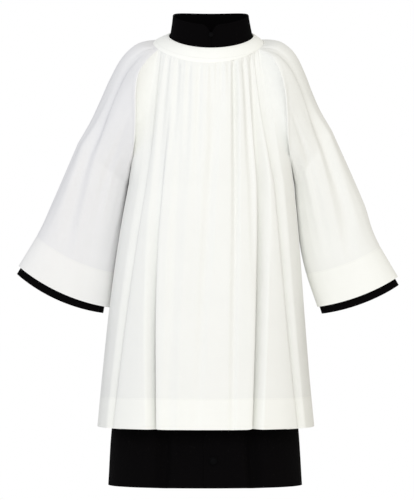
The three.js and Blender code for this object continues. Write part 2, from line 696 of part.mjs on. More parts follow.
// The columns of a surplice sleeve, which meet the panels' columns along the arm seams.
function raglanTurns() {
  const seam = range(SHOULDER_WIDE, 180, SEAM_STEPS);
  const shoulder = range(-SHOULDER_WIDE, SHOULDER_WIDE, SHOULDER_STEPS).slice(1, -1);
  return [...seam.slice(0, -1).map((t) => -t).reverse(), ...shoulder, ...seam];
}

function surpliceSleeve(sleeve, front, back) {
  const { cloth, turnUp, cuffDepth } = SURPLICE;
  const rows = sleeveRows(
    sleeve,
    raglanTurns(),
    SLEEVE_LEVELS,
    SLEEVE_FOLDS,
    (level) => (level >= 2 - cuffDepth ? cloth + turnUp : cloth),
    (turn, level) => {
      if (level > 0) return undefined;
      const run = (Math.abs(turn) - SHOULDER_WIDE) / (180 - SHOULDER_WIDE);
      if (run > 0) return armSeamNormal(turn >= 0 ? front : back, sleeve.side, run);
      return neckSeamNormal(BAND_OUTER, BAND_INNER, sleeve.side * shoulderBearing(turn));
    },
  );
  pullBackEdges(rows, SEAM_GAP * 0.7, true);
  return wall(rows, true, sleeve.side);
}

// One length of the cassock's sleeve, between its armhole, its forearm seam and its cuff.
function cassockSleeve(sleeve, front, back, levels) {
  const turns = range(-180, 180, 24).slice(1);
  const surface = (t, l) => smoothSleeve(sleeve, t, l);
  const runAt = (turn) => lerp(ARMHOLE_START, 1, Math.abs(turn) / 180);
  const rows = sleeveRows(
    sleeve,
    turns,
    levels,
    [],
    () => CASSOCK.cloth,
    (turn, level) => {
      if (level === 0) return armSeamNormal(turn >= 0 ? front : back, sleeve.side, runAt(turn));
      return level === CASSOCK.forearm ? frameOf(surface, turn, level, sleeve.side).normal : undefined;
    },
  );
  pullBackEdges(rows, SEAM_GAP * 0.7, true, true);
  return wall(rows, true, sleeve.side);
}

function addCassockSleeve(name, sleeve) {
  const { forearm } = CASSOCK;
  add(name, cassockSleeve(sleeve, blackFront, blackBack, [0, 0.4, 1, forearm]), BLACK_CLOTH);
  add(`${name}_forearm`, cassockSleeve(sleeve, blackFront, blackBack, [forearm, 1.6, 1.8, 2]), BLACK_CLOTH);
}

// ---------------------------------------------------------------- neck band and collar

// A band between two neck rings, crowned across its width.
function neckBand() {
  const bearings = range(0, 360, 64).slice(0, -1);
  const rows = range(0, 1, 3).map((share) =>
    bearings.map((bearing) => ({
      at: bearing,
      point: neckPoint(BAND_INNER, bearing)
        .lerp(neckPoint(BAND_OUTER, bearing), share)
        .add(vec(0, 0, BAND.crown * 4 * share * (1 - share))),
      thick: BAND.cloth,
      normal: share === 1 ? neckSeamNormal(BAND_OUTER, BAND_INNER, bearing) : undefined,
    })),
  );
  pullBackEdges(rows, SEAM_GAP * 0.7, true, true);
  return wall(rows, true);
}

// A point of the stand collar, up from its seam by a share of its height. It springs out at the seam.
function collarPoint(bearing, up) {
  const low = neckPoint(COLLAR_SEAM, bearing);
  const out = vec(low.x - COLLAR_SEAM.shift, low.y, 0).normalize();
  return low
    .lerp(neckPoint(COLLAR_TOP, bearing), up)
    .addScaledVector(out, COLLAR.flare * ((1 - up) ** 3 - 1));
}

// The stand collar, open at the front, where its two ends are cut away in a notch.
function standCollar() {
  const { cloth, meet, notchWide, notchDeep } = COLLAR;
  const gap = THREE.MathUtils.radToDeg(meet / 2 / COLLAR_SEAM.half);
  const bearings = [gap, 1.5, 3.5, ...range(7.5, 352.5, 46), 356.5, 358.5, 360 - gap];
  const height = COLLAR_TOP.side - COLLAR_SEAM.side;
  const rows = [1, 0.8, 0.55, 0.3, 0].map((share) =>
    bearings.map((bearing) => {
      const fromEnd = COLLAR_SEAM.half * radians(Math.min(bearing, 360 - bearing));
      const cut = notchDeep * Math.max(1 - fromEnd / notchWide, 0) ** 2.6;
      return {
        at: bearing,
        point: collarPoint(bearing, share * (1 - cut / height)),
        thick: cloth,
        normal: share === 0 ? neckSeamNormal(COLLAR_SEAM, COLLAR_TOP, bearing) : undefined,
      };
    }),
  );
  rows[rows.length - 1].forEach((v, i) => pullBack(v, rows[rows.length - 2][i], SEAM_GAP));
  return wall(rows, false);
}

// ---------------------------------------------------------------- cassock body

const WAIST_LEVEL = 1 + (CASSOCK.waist - CASSOCK.bust) / (CASSOCK.hem - CASSOCK.bust);

// The left front is lifted over the right one where they lap.
function lapLift(x) {
  const { underlap, lap, lapEase } = OPENING;
  const s = clamp((x - underlap) / lapEase, 0, 1);
  return lap * (1 - s * s * (3 - 2 * s));
}

// The turn where a level row of a panel passes a given x.
function turnAtX(panel, x, level) {
  let [low, high] = [-40, 40];
  for (let i = 0; i < 40; i++) {
    const middle = (low + high) / 2;
    if (smoothPanel(panel, middle, level).x < x) low = middle;
    else high = middle;
  }
  return (low + high) / 2;
}

// One panel of the cassock between two levels and, at its opening, between two x.
function cassockPanel(panel, levels, fromX, toX, lift) {
  const surface = (t, l) => smoothPanel(panel, t, l);
  const rows = levels.map((level) => {
    const start = fromX === undefined ? -UNDERARM_TURN : turnAtX(panel, fromX, level);
    const end = toX === undefined ? UNDERARM_TURN : turnAtX(panel, toX, level);
    const inside = level < 1 ? cassockTopTurns() : foldTurns(panel, level);
    const kept = inside.filter((t) => t > start + 2 && t < end - 2);
    return [start, ...kept, end].map((turn) => {
      const folds = Math.abs(turn) === UNDERARM_TURN ? [] : panel.folds;
      const point = foldedPoint(surface, folds, undefined, turn, level);
      const { normal } = frameOf(surface, turn, level);
      return {
        at: turn,
        point: point.addScaledVector(normal, lift ? lapLift(point.x) : 0),
        thick: CASSOCK.cloth,
        normal: panelSeamNormal(panel, turn, level) ?? (level === WAIST_LEVEL ? normal : undefined),
      };
    });
  });
  pullBackEdges(rows, SEAM_GAP * 0.7, false, true);
  return wall(rows, false);
}

// A cassock panel and the skirt below it, sewn together at the waist.
function addCassockPanel(name, ...panelAndOpening) {
  const [panel, ...opening] = panelAndOpening;
  add(name, cassockPanel(panel, [0, 0.25, 0.55, 1, WAIST_LEVEL], ...opening), BLACK_CLOTH);
  add(`${name}_skirt`, cassockPanel(panel, [WAIST_LEVEL, 1.4, 1.6, 1.8, 2], ...opening), BLACK_CLOTH);
}

// The columns of the cassock's upper rows, which meet its sleeves' columns along the armholes.
function cassockTopTurns() {
  const tip = lerp(NECK_TURN, UNDERARM_TURN, ARMHOLE_START);
  const side = [...range(NECK_TURN, tip, 3), ...range(tip, UNDERARM_TURN, 9).slice(1)];
  return [...side.map((t) => -t).reverse(), ...range(-NECK_TURN, NECK_TURN, 24).slice(1, -1), ...side];
}

// ---------------------------------------------------------------- buttons

// A round button with a raised rim and a dished middle.
function buttonShape(diameter) {
  const { thick, dish, rim } = BUTTON;
  const r = diameter / 2;
  const profile = [
    [0, 0],
    [r * 0.7, 0],
    [r, thick * 0.45],
    [r * 0.92, thick * 0.85],
    [r - rim, thick],
    [r - rim * 1.6, thick - dish],
    [0, thick - dish],
  ];
  const points = profile.map(([x, y]) => new THREE.Vector2(x, y));
  return new THREE.LatheGeometry(points, BUTTON_SIDES);
}

// Where a button sits on the cassock's front, and the way it faces.
function buttonPlace(panel, x, drop) {
  const surface = (t, l) => smoothPanel(panel, t, l);
  const { bust, hem } = CASSOCK;
  let level = 1 + (drop - bust) / (hem - bust);
  if (drop < bust) level = (drop + topPoint(panel, 5).z) / (bust + topPoint(panel, 5).z);
  const turn = turnAtX(panel, x, level);
  const { normal } = frameOf(surface, turn, level);
  const point = foldedPoint(surface, panel.folds, undefined, turn, level);
  return { point: point.addScaledVector(normal, OPENING.lap + SEAM_GAP), normal };
}

// ---------------------------------------------------------------- the two garments

const finish = (color, roughness) => new THREE.MeshStandardMaterial({ color, roughness, metalness: 0 });
const WHITE_CLOTH = finish(0xf4f3ef, 0.85);
const WHITE_BAND = finish(0xf8f7f3, 0.85);
const BLACK_CLOTH = finish(0x0b0b0c, 0.8);
const BLACK_BUTTON = finish(0x08080a, 0.35);

const sleeveOf = (side, rings, top, rounding, fromRun, towardsPanel) =>
  ({ side, rings, top, rounding, fromRun, towardsPanel });
const raglanFromRun = (run) => lerp(SHOULDER_WIDE, 180, run);
const armholeFromRun = (run) => (180 * (run - ARMHOLE_START)) / (1 - ARMHOLE_START);
const whiteSleeve = (side, rings, rounding) =>
  sleeveOf(side, rings, raglanTop(side), rounding, raglanFromRun, 0);
const blackSleeve = (side, rings, underarm, towardsPanel) =>
  sleeveOf(side, innerRings(rings, underarm), armholeTop(side), 0.2, armholeFromRun, towardsPanel);

const whiteSleeves = {
  startRun: 0,
  right: whiteSleeve(-1, RIGHT_SLEEVE, 1),
  left: whiteSleeve(1, LEFT_SLEEVE, 1.12),
};
const blackSleeves = {
  startRun: ARMHOLE_START,
  right: blackSleeve(-1, RIGHT_SLEEVE, INNER_SLEEVE.rightUnderarm, 0),
  left: blackSleeve(1, LEFT_SLEEVE, INNER_SLEEVE.atCuff, 0.8),
};

const panelOf = (body, facing, folds, gathers, sleeves) => ({ body, facing, folds, gathers, sleeves });
const whiteFront = panelOf(SURPLICE_BODY, 0, FRONT_FOLDS, FRONT_GATHERS, whiteSleeves);
const whiteBack = panelOf(SURPLICE_BODY, 180, BACK_FOLDS, BACK_GATHERS, whiteSleeves);
const blackFront = panelOf(CASSOCK_BODY, 0, SKIRT_FOLDS, undefined, blackSleeves);
const blackBack = panelOf(CASSOCK_BODY, 180, SKIRT_FOLDS, undefined, blackSleeves);
blackFront.mate = blackBack;
blackBack.mate = blackFront;

const group = new THREE.Group();

function add(name, geometry, material) {
  const mesh = new THREE.Mesh(geometry, material);
  mesh.name = name;
  group.add(mesh);
  return mesh;
}

function addButton(name, diameter, { point, normal }) {
  const mesh = add(name, buttonShape(diameter), BLACK_BUTTON);
  mesh.position.copy(point);
  mesh.quaternion.setFromUnitVectors(vec(0, 1, 0), normal);
}

add("surplice_front", surplicePanel(whiteFront), WHITE_CLOTH);
add("surplice_back", surplicePanel(whiteBack), WHITE_CLOTH);
add("surplice_sleeve_right", surpliceSleeve(whiteSleeves.right, whiteFront, whiteBack), WHITE_CLOTH);
add("surplice_sleeve_left", surpliceSleeve(whiteSleeves.left, whiteFront, whiteBack), WHITE_CLOTH);
add("surplice_neck_band", neckBand(), WHITE_BAND);

add("cassock_collar", standCollar(), BLACK_CLOTH);
addCassockPanel("cassock_front_right", blackFront, undefined, OPENING.underlap, false);
addCassockPanel("cassock_front_left", blackFront, OPENING.edge, undefined, true);
addCassockPanel("cassock_back", blackBack, undefined, undefined, false);
addCassockSleeve("cassock_sleeve_right", blackSleeves.right);
addCassockSleeve("cassock_sleeve_left", blackSleeves.left);

const collarFront = collarPoint(0, COLLAR_BUTTON.up);
const collarRise = neckPoint(COLLAR_TOP, 0).sub(neckPoint(COLLAR_SEAM, 0)).normalize();
const collarFacing = vec(0, -collarRise.z, collarRise.y);
addButton("cassock_collar_button", COLLAR_BUTTON.diameter, {
  point: collarFront.addScaledVector(collarFacing, SEAM_GAP),
  normal: collarFacing,
});
range(BUTTON_DROPS.first, BUTTON_DROPS.last, BUTTON_DROPS.count - 1).forEach((drop, i) => {
  addButton(`cassock_button_${i + 1}`, BUTTON.diameter, buttonPlace(blackFront, BUTTON.x, drop));
});

export default group;
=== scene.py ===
# %% [markdown]
# A black cassock with its white surplice over it, filled out as if worn and hollow inside.
#
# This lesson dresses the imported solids. Each panel of cloth is drawn again as a fine, thin shell on the
# form of its solid, with its folds, gathers, seams and hems, and each button is modelled by hand. The
# garments hang from the wearer's neck, so nothing moves and everything rides on one body.

import math

import bpy
import numpy as np
from mathutils import Matrix, Vector


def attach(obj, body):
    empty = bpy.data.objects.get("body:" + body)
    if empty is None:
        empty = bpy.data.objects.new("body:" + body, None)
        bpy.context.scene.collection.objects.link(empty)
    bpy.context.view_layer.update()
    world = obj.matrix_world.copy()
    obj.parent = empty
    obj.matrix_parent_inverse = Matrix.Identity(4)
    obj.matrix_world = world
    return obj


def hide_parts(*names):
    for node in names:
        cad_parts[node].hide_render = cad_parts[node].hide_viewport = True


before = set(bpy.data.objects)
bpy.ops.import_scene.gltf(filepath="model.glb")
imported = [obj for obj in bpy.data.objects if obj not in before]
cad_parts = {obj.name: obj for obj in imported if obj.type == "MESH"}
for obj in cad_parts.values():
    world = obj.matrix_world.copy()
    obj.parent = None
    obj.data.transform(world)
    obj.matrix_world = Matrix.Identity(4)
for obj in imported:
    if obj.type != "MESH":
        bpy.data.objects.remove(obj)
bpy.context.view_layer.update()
bpy.ops.object.select_all(action="DESELECT")

# %% [markdown]
# The camera comes first, so that every later step can be looked at. It stands 8 metres in front of the
# chest, level, with a long lens, as a catalogue picture of a garment is taken. A long lens keeps the
# sleeves and the hem almost as wide as they measure.

# %% Camera
VIEW_DISTANCE = 8.0  # metres from the camera to the front of the chest
VIEW_HIGH = 1.05  # metres that the view takes in from top to bottom at the chest
CHEST_FRONT = -0.1  # the y of the front of the chest
VIEW_MIDDLE = (-0.001, -0.441)  # x and z of the middle of the view


def new_object(name, data):
    made = bpy.data.objects.new(name, data)
    bpy.context.scene.collection.objects.link(made)
    return made


camera_data = bpy.data.cameras.new("Camera")
camera_data.sensor_fit = "VERTICAL"
camera_data.angle = 2 * math.atan(VIEW_HIGH / 2 / VIEW_DISTANCE)
camera = new_object("Camera", camera_data)
camera.location = (VIEW_MIDDLE[0], CHEST_FRONT - VIEW_DISTANCE, VIEW_MIDDLE[1])
camera.rotation_euler = (math.radians(90), 0, 0)
bpy.context.scene.camera = camera
print("camera at", [round(x, 3) for x in camera.location], "lens", round(camera_data.lens, 1), "mm")


# %% [markdown]
# Colours are written as sRGB hex values, as a dyer's card gives them, and one function turns them to the
# linear numbers that the shader needs. A few more functions add a node with its settings and its links.

# %% Colours and nodes
def linear(hex_colour):
    """An sRGB hex colour as linear red, green, blue and alpha."""
    parts = [int(hex_colour[i : i + 2], 16) / 255 for i in (1, 3, 5)]
    return (*[p / 12.92 if p <= 0.04045 else ((p + 0.055) / 1.055) ** 2.4 for p in parts], 1.0)


def node(tree, kind, settings=None, **inputs):
    """Adds a node. An input is a value, or another node's output socket to link."""
    made = tree.nodes.new(kind)
    for name, value in (settings or {}).items():
        setattr(made, name, value)
    for name, value in inputs.items():
        key = int(name[1:]) if name[0] == "_" and name[1:].isdigit() else name.replace("_", " ")
        socket = made.inputs[key]
        if isinstance(value, bpy.types.NodeSocket):
            tree.links.new(value, socket)
        else:
            socket.default_value = value
    return made


def maths(tree, operation, first, second=0.0, third=0.0):
    return node(tree, "ShaderNodeMath", {"operation": operation}, _0=first, _1=second, _2=third).outputs[0]


def mixed(tree, share, first, second, blend="MIX"):
    """One colour turned into another by a share from 0 to 1."""
    settings = {"data_type": "RGBA", "blend_type": blend}
    return node(tree, "ShaderNodeMix", settings, _0=share, _6=first, _7=second).outputs[2]


def carried(tree, value, low, high, start=0, end=1):
    """A number that goes from low to high while a value goes from start to end."""
    ends = dict(From_Min=start, From_Max=end, To_Min=low, To_Max=high)
    return node(tree, "ShaderNodeMapRange", Value=value, **ends).outputs["Result"]


def new_material(name, **settings):
    """A material, its node tree and its main shader."""
    material = bpy.data.materials.new(name)
    material.use_nodes = True
    shader = material.node_tree.nodes["Principled BSDF"]
    for setting, value in settings.items():
        shader.inputs[setting.replace("_", " ")].default_value = value
    return material, material.node_tree, shader


# %% [markdown]
# The garment is shown on white in a room of soft light. The room itself is the light: it is a little
# brighter in front, cool and bright on the wearer's right, and warm and dimmer on their left, which gives
# white cloth its grey and cream shadows. A large soft lamp in front adds the last of the light.

# %% Light
WHITE_ROOM = 1.0  # what the eye sees behind the garment
ROOM_COOL = "#dfe1e7"  # light from the wearer's right
ROOM_WARM = "#d8d4ca"  # light from the wearer's left
ROOM_AHEAD, ROOM_BEHIND = 1.22, 0.72  # how bright the room is in front of the garment and behind it
LAMP = dict(size=1.6, watts=40, place=Vector((0.1, -3.6, 0.9)), aim=Vector((0, 0, -0.4)))

world = bpy.data.worlds.new("Room")
bpy.context.scene.world = world
world.use_nodes = True
tree = world.node_tree
tree.nodes.clear()
direction = node(tree, "ShaderNodeSeparateXYZ", _0=node(tree, "ShaderNodeTexCoord").outputs["Generated"])
sideways = carried(tree, direction.outputs["X"], 0, 1, -1, 1)
tint = mixed(tree, sideways, linear(ROOM_COOL), linear(ROOM_WARM))
strength = carried(tree, direction.outputs["Y"], ROOM_AHEAD, ROOM_BEHIND, -1, 1)
room = node(tree, "ShaderNodeBackground", Color=tint, Strength=strength)
plain = node(tree, "ShaderNodeBackground", Color=(1, 1, 1, 1), Strength=WHITE_ROOM)
seen = node(tree, "ShaderNodeLightPath").outputs["Is Camera Ray"]
either = node(tree, "ShaderNodeMixShader", _0=seen, _1=room.outputs[0], _2=plain.outputs[0])
node(tree, "ShaderNodeOutputWorld", Surface=either.outputs[0])

lamp_data = bpy.data.lights.new("FrontLamp", "AREA")
lamp_data.size, lamp_data.energy = LAMP["size"], LAMP["watts"]
lamp = new_object("FrontLamp", lamp_data)
lamp.location = LAMP["place"]
lamp.rotation_euler = (LAMP["aim"] - LAMP["place"]).to_track_quat("-Z", "Y").to_euler()
bpy.context.scene.view_settings.view_transform = "Standard"
print("room light from", ROOM_COOL, "to", ROOM_WARM, "and one lamp of", LAMP["watts"], "watts")

# %% [markdown]
# The floor is where the wearer's feet would stand, a neck's height below. It is only a stage for the
# garment, which hangs above it from the neck. It is pale matt paper, which shows no shine or pattern and
# throws a little light back up under the hems.

# %% Floor
FLOOR_DROP = 1.48  # metres from the middle of the neck to the floor
bpy.ops.mesh.primitive_circle_add(vertices=96, radius=2.6, fill_type="NGON", location=(0, 0, -FLOOR_DROP))
floor = bpy.context.object
floor.name = "Floor"
paper = new_material("MattPaper", Base_Color=linear("#f1f0ee"), Roughness=0.95)[0]
floor.data.materials.append(paper)
print("floor at", -FLOOR_DROP)


# %% [markdown]
# White surplice cloth is a polyester and cotton plain weave. It is matt, and one layer of it lets a
# little of what is behind it through, so a turned-up hem, where it is double, looks whiter. Its threads
# are 0.4 mm apart, too fine to show, so the weave is drawn three times as coarse. The pattern follows
# each piece's own map, laid out in metres across the cloth and up from its hem.
#
# What each cloth gives the eye: the single polycotton is a soft grey white that never shines, its doubled
# hems and cuffs are one shade whiter, and the band, double and pressed hard, is the whitest and smoothest.
# The right sleeve's cloth is a shade greyer than the left sleeve's: this is painted shade, which darkens
# that whole sleeve.
# The cassock's suiting is nearly black and flat, with a slanting twill too dark to see except where light
# grazes it, and its collar is the same cloth pressed on a stiffener, so it is darker and smoother still.

# %% Cloth materials
MM = 0.001
# Stitches darken the colour by a share: that darkening is painted shade in the stitch holes, and their dent
# is a real bump.
STITCH = dict(long=0.0025, wide=0.0007, gap=-0.55, hole_shade=0.08, deep=0.0002)  # lengths in metres
HEM_DEEP, CUFF_DEEP = 65, 75  # how high the surplice's hem and cuffs are doubled, in millimetres
WHITE_THREAD, BLACK_THREAD, THREAD_HIGH = 0.0012, 0.0016, 0.00004  # metres, as they are drawn


def stitches(tree, distance, place, sideways):
    """1 on a row of stitches at a distance from an edge, and 0 off it."""
    gap = maths(tree, "ABSOLUTE", maths(tree, "SUBTRACT", distance, place))
    row = maths(tree, "SUBTRACT", 1.0, maths(tree, "DIVIDE", gap, STITCH["wide"]))
    wave = maths(tree, "SINE", maths(tree, "MULTIPLY", sideways, 2 * math.pi / STITCH["long"]))
    on = maths(tree, "GREATER_THAN", wave, STITCH["gap"])
    return maths(tree, "MULTIPLY", maths(tree, "MAXIMUM", row, 0.0), on)


def cloth_material(name, colour, thread, bumpiness, twill=False, hem=0, double=None, tops=(), gloss=0.2):
    """Woven cloth. Below the height hem it is double, of another colour and stitched at the top of that;
    tops are distances from the upper edge that have a row of stitches."""
    material, tree, shader = new_material(name, Roughness=0.92, Specular_IOR_Level=gloss)
    laid_out = node(tree, "ShaderNodeUVMap", {"uv_map": "cloth"}).outputs[0]
    place = node(tree, "ShaderNodeSeparateXYZ", _0=laid_out)
    across, up = place.outputs["X"], place.outputs["Y"]
    down = node(tree, "ShaderNodeAttribute", {"attribute_name": "from_top"}).outputs["Fac"]
    spots = node(tree, "ShaderNodeTexCoord").outputs["Object"]

    base, stitches_and_shade = linear(colour), 0.0
    if hem:
        base = mixed(tree, maths(tree, "LESS_THAN", up, hem * MM), base, linear(double))
        stitches_and_shade = stitches(tree, up, (hem - 2) * MM, across)
    for top in tops:
        stitches_and_shade = maths(tree, "MAXIMUM", stitches_and_shade, stitches(tree, down, top, across))

    mottle = node(tree, "ShaderNodeTexNoise", Vector=spots, Scale=14.0, Detail=3.0, Roughness=0.6)
    shade = carried(tree, mottle.outputs["Fac"], 0.975, 1.02)
    # Painted shade: the rows of stitches are darkened in the colour, as the shade in their holes.
    shade = maths(tree, "SUBTRACT", shade, maths(tree, "MULTIPLY", stitches_and_shade, STITCH["hole_shade"]))
    tree.links.new(mixed(tree, 1.0, base, shade, "MULTIPLY"), shader.inputs["Base Color"])

    def threads(way):
        return maths(tree, "SINE", maths(tree, "MULTIPLY", way, 2 * math.pi / thread))

    if twill:
        weave = threads(maths(tree, "ADD", across, up))
    else:
        weave = maths(tree, "MULTIPLY", threads(across), threads(up))
    crumple = node(tree, "ShaderNodeTexNoise", Vector=spots, Scale=26.0, Detail=2.0, Roughness=0.45)
    relief = maths(tree, "MULTIPLY_ADD", weave, THREAD_HIGH, maths(tree, "MULTIPLY", stitches_and_shade, -STITCH["deep"]))
    relief = maths(tree, "MULTIPLY_ADD", crumple.outputs["Fac"], bumpiness, relief)
    bump = node(tree, "ShaderNodeBump", Strength=1.0, Distance=1.0, Height=relief)
    tree.links.new(bump.outputs[0], shader.inputs["Normal"])
    return material


def white_cloth(name, hem, colour="#f2f3f0", double="#f7f8f4"):
    return cloth_material(name, colour, WHITE_THREAD, 0.0006, hem=hem, double=double)


def black_cloth(name, colour, bumpiness, tops=()):
    return cloth_material(name, colour, BLACK_THREAD, bumpiness, twill=True, tops=tops, gloss=0.03)


white_body = white_cloth("WhitePolycotton", HEM_DEEP)
white_sleeve = white_cloth("WhitePolycottonSleeve", CUFF_DEEP)
# Painted shade: the right sleeve gets greyer colours than the left one, which darken that whole sleeve.
white_sleeve_shaded = white_cloth("WhitePolycottonPaintedShade", CUFF_DEEP, "#ebebec", "#f1f1f0")
white_band = cloth_material("WhitePolycottonDoubled", "#fbfcf8", WHITE_THREAD, 0.0003, tops=(0.0025, 0.029))
black_suiting = black_cloth("BlackWoolSuiting", "#080708", 0.0003)
black_collar = black_cloth("BlackWoolCollar", "#060506", 0.0002, tops=(0.004,))
print("materials:", sorted(m.name for m in bpy.data.materials))

# %% [markdown]
# The sizes below are in millimetres, as a pattern cutter writes them, and become metres when a mesh is
# made. A body panel falls from its top edge (the neck seam, then the two arm seams) to a ring at the
# bust and on through level rings to the hem. Its turn is its bearing round the body from its own middle.
# Its level is 0 at the top edge, 1 at the bust and 2 at the hem.


# %% Sizes of the rings
def table(columns, *rows):
    """Rows of numbers under named columns."""
    return [dict(zip(columns.split(), row)) for row in rows]


ROUNDNESS = 2.3  # 2 makes every ring an ellipse, more makes it squarer
UNDERARM_TURN = 90
NECK_TURN = 58  # how much of a panel starts on the neck seam
SURPLICE = dict(cloth=1.5, turn_up=1.1, bust=300, hem=815)
CASSOCK = dict(cloth=2.0, bust=250, waist=392, forearm=1.3, hem=939)

NECK_RING = "shift half deep middle side tilt dip"
(BAND_INNER,) = table(NECK_RING, (8, 90.3, 77, 2, 15.5, 24.5, 5.5))
(BAND_OUTER,) = table(NECK_RING, (2, 118, 97, 1.5, 0, 29, 18))
(COLLAR_SEAM,) = table(NECK_RING, (8.5, 92, 79, 2, -2, 25, 8))
(COLLAR_TOP,) = table(NECK_RING, (7, 83.3, 67, 0, 58.5, 15.5, 8.5))
BAND = dict(cloth=2.4, crown=1.2)
COLLAR = dict(cloth=3, meet=0.6, notch_wide=24, notch_deep=20, flare=3)

RING = "drop right left front back"
SURPLICE_RINGS = table(
    RING,
    (270, 161, 181, 142, 124),
    (410, 187, 194, 154, 134),
    (560, 208, 205, 165, 146),
    (700, 223, 216, 176, 156),
    (815, 234, 227, 187, 166),
)
CASSOCK_RINGS = table(
    RING,
    (220, 138, 146, 112, 98),
    (400, 144, 148, 116, 100),
    (600, 168, 166, 124, 108),
    (807, 202, 192, 135, 121),
    (939, 211, 201, 146, 132),
)
print("surplice hem at", -SURPLICE["hem"], "cassock hem at", -CASSOCK["hem"])

# %% Sizes of the arm seams
# The surplice's four arm seams, from the neck (run 0) to the underarm (run 1): x, y and z of each.
SEAM = "run x y z"
RAGLAN_ENDS = [("front", -1), ("front", 1), ("back", -1), ("back", 1)]  # -1 is the wearer's right
RAGLAN_ROWS = [
    (0.12, (-127, -62, -40), (134, -62, -32), (-118, 72, -10), (124, 72, -8)),
    (0.24, (-145, -80, -70), (152, -78, -64), (-136, 86, -42), (143, 86, -38)),
    (0.37, (-151, -93, -110), (163, -90, -104), (-147, 96, -84), (156, 96, -80)),
    (0.52, (-151, -95, -160), (167, -93, -155), (-152, 98, -138), (163, 98, -135)),
    (0.69, (-154, -84, -215), (170, -82, -212), (-155, 86, -198), (168, 86, -195)),
    (0.85, (-160, -45, -252), (175, -44, -250), (-160, 45, -248), (174, 45, -246)),
    (1, (-163, 0, -268), (178, 0, -266), (-163, 0, -268), (178, 0, -266)),
]
RAGLAN = {}
for i, end in enumerate(RAGLAN_ENDS):
    RAGLAN[end] = table(SEAM, *[(run, *points[i]) for run, *points in RAGLAN_ROWS])
RAGLAN_STARTS = {"front": 64, "back": 125}  # bearings on the neck seam

# Half of the cassock's shoulder seam and armhole. The rest are its mirror images.
SHOULDER_AND_ARMHOLE = table(
    SEAM,
    (0.16, 112, 0, -14),
    (0.4, 160, 0, -42),
    (0.56, 159, -44, -78),
    (0.72, 152, -62, -122),
    (0.88, 146, -42, -168),
    (1, 144, 0, -186),
)
ARMHOLE_START = 0.4  # the run at the shoulder's tip
print("arm seams:", sorted(RAGLAN))


# %% [markdown]
# Cloth runs smoothly from one measured ring to the next, so every table is read along a smooth curve.
# All the functions work on whole grids of points at once, which is what keeps the script quick.


# %% Reading a table smoothly
def along(rows, key, at, column):
    """A smooth value of one column between the rows of a table whose key column rises."""
    keys = np.array([row[key] for row in rows], float)
    values = np.array([row[column] for row in rows], float)
    order = np.arange(len(keys))
    before, after = np.maximum(order - 1, 0), np.minimum(order + 1, len(keys) - 1)
    slopes = (values[after] - values[before]) / (keys[after] - keys[before])
    i = np.clip(np.searchsorted(keys, at, side="right") - 1, 0, len(keys) - 2)
    span = keys[i + 1] - keys[i]
    s = np.clip((at - keys[i]) / span, 0, 1)
    bend = slopes[i] * s * (1 - s) ** 2 - slopes[i + 1] * s * s * (1 - s)
    return values[i] + (values[i + 1] - values[i]) * s * s * (3 - 2 * s) + span * bend


def through(neck, bust, hem, level):
    """A smooth value by its sizes at the neck, the bust and the hem."""
    return along(table("level value", (0, neck), (1, bust), (2, hem)), "level", level, "value")


def vec(x, y, z):
    return np.stack(np.broadcast_arrays(x, y, z), axis=-1).astype(float)


def lerp(a, b, share):
    return a + (b - a) * share


def ease(value):
    """0 to 1, starting and ending gently."""
    s = np.clip(value, 0, 1)
    return s * s * (3 - 2 * s)


def unit(vectors):
    return vectors / np.maximum(np.linalg.norm(vectors, axis=-1, keepdims=True), 1e-9)


def sin_cos(bearing):
    return np.sin(np.radians(bearing)), np.cos(np.radians(bearing))


def squarer(value):
    return np.sign(value) * np.abs(value) ** (2 / ROUNDNESS)


print("500 mm down, the surplice reaches left", round(float(along(SURPLICE_RINGS, "drop", 500, "left"))))


# %% Rings and arm seams
def neck_point(ring, bearing):
    across, ahead = sin_cos(bearing)
    return vec(
        ring["shift"] + ring["half"] * across,
        ring["middle"] - ring["deep"] * ahead,
        ring["side"] - ring["tilt"] * ahead - ring["dip"] * ahead**2,
    )


def ring_point(rings, drop, bearing):
    across, ahead = map(squarer, sin_cos(bearing))
    wide = np.where(across > 0, along(rings, "drop", drop, "left"), along(rings, "drop", drop, "right"))
    deep = np.where(ahead > 0, along(rings, "drop", drop, "front"), along(rings, "drop", drop, "back"))
    return vec(across * wide, -ahead * deep, -drop)


def seam_along(start, rows, run):
    rows = [dict(run=0, x=start[0], y=start[1], z=start[2]), *rows]
    return vec(*[along(rows, "run", run, axis) for axis in "xyz"])


def raglan_seam(facing, side, run):
    start = neck_point(BAND_OUTER, side * RAGLAN_STARTS[facing])
    return seam_along(start, RAGLAN[facing, side], run)


def armhole_seam(facing, side, run):
    p = seam_along(neck_point(COLLAR_SEAM, 90), SHOULDER_AND_ARMHOLE, run)
    lean = lerp(2 * COLLAR_SEAM["shift"], 0, np.clip(run / ARMHOLE_START, 0, 1))
    y = np.minimum(p[..., 1], 0)
    x = p[..., 0] if side > 0 else lean - p[..., 0]
    return vec(x, y if facing == "front" else -y, p[..., 2])


def body(seam, neck, neck_span, rings, sizes):
    return dict(seam=seam, neck=neck, neck_span=neck_span, rings=rings, **sizes)


surplice_body = body(raglan_seam, BAND_OUTER, {"front": 64, "back": 55}, SURPLICE_RINGS, SURPLICE)
cassock_body = body(armhole_seam, COLLAR_SEAM, {"front": 90, "back": 90}, CASSOCK_RINGS, CASSOCK)
print("the raglan seam is", round(float(raglan_seam("front", -1, 1.0)[2])), "mm down at the underarm")


# %% The surface of a body panel
def panel_top(panel, turn):
    """A panel's top edge: the neck seam in its middle and an arm seam on each side."""
    facing, made = panel["facing"], panel["body"]
    middle, way = (0, 1) if facing == "front" else (180, -1)
    size = np.abs(turn)
    neck = neck_point(made["neck"], middle + turn * made["neck_span"][facing] / NECK_TURN)
    run = np.clip((size - NECK_TURN) / (UNDERARM_TURN - NECK_TURN), 0, 1)
    on_left = (turn * way > 0)[..., None]
    arm = np.where(on_left, made["seam"](facing, 1, run), made["seam"](facing, -1, run))
    return np.where((size <= NECK_TURN)[..., None], neck, arm)


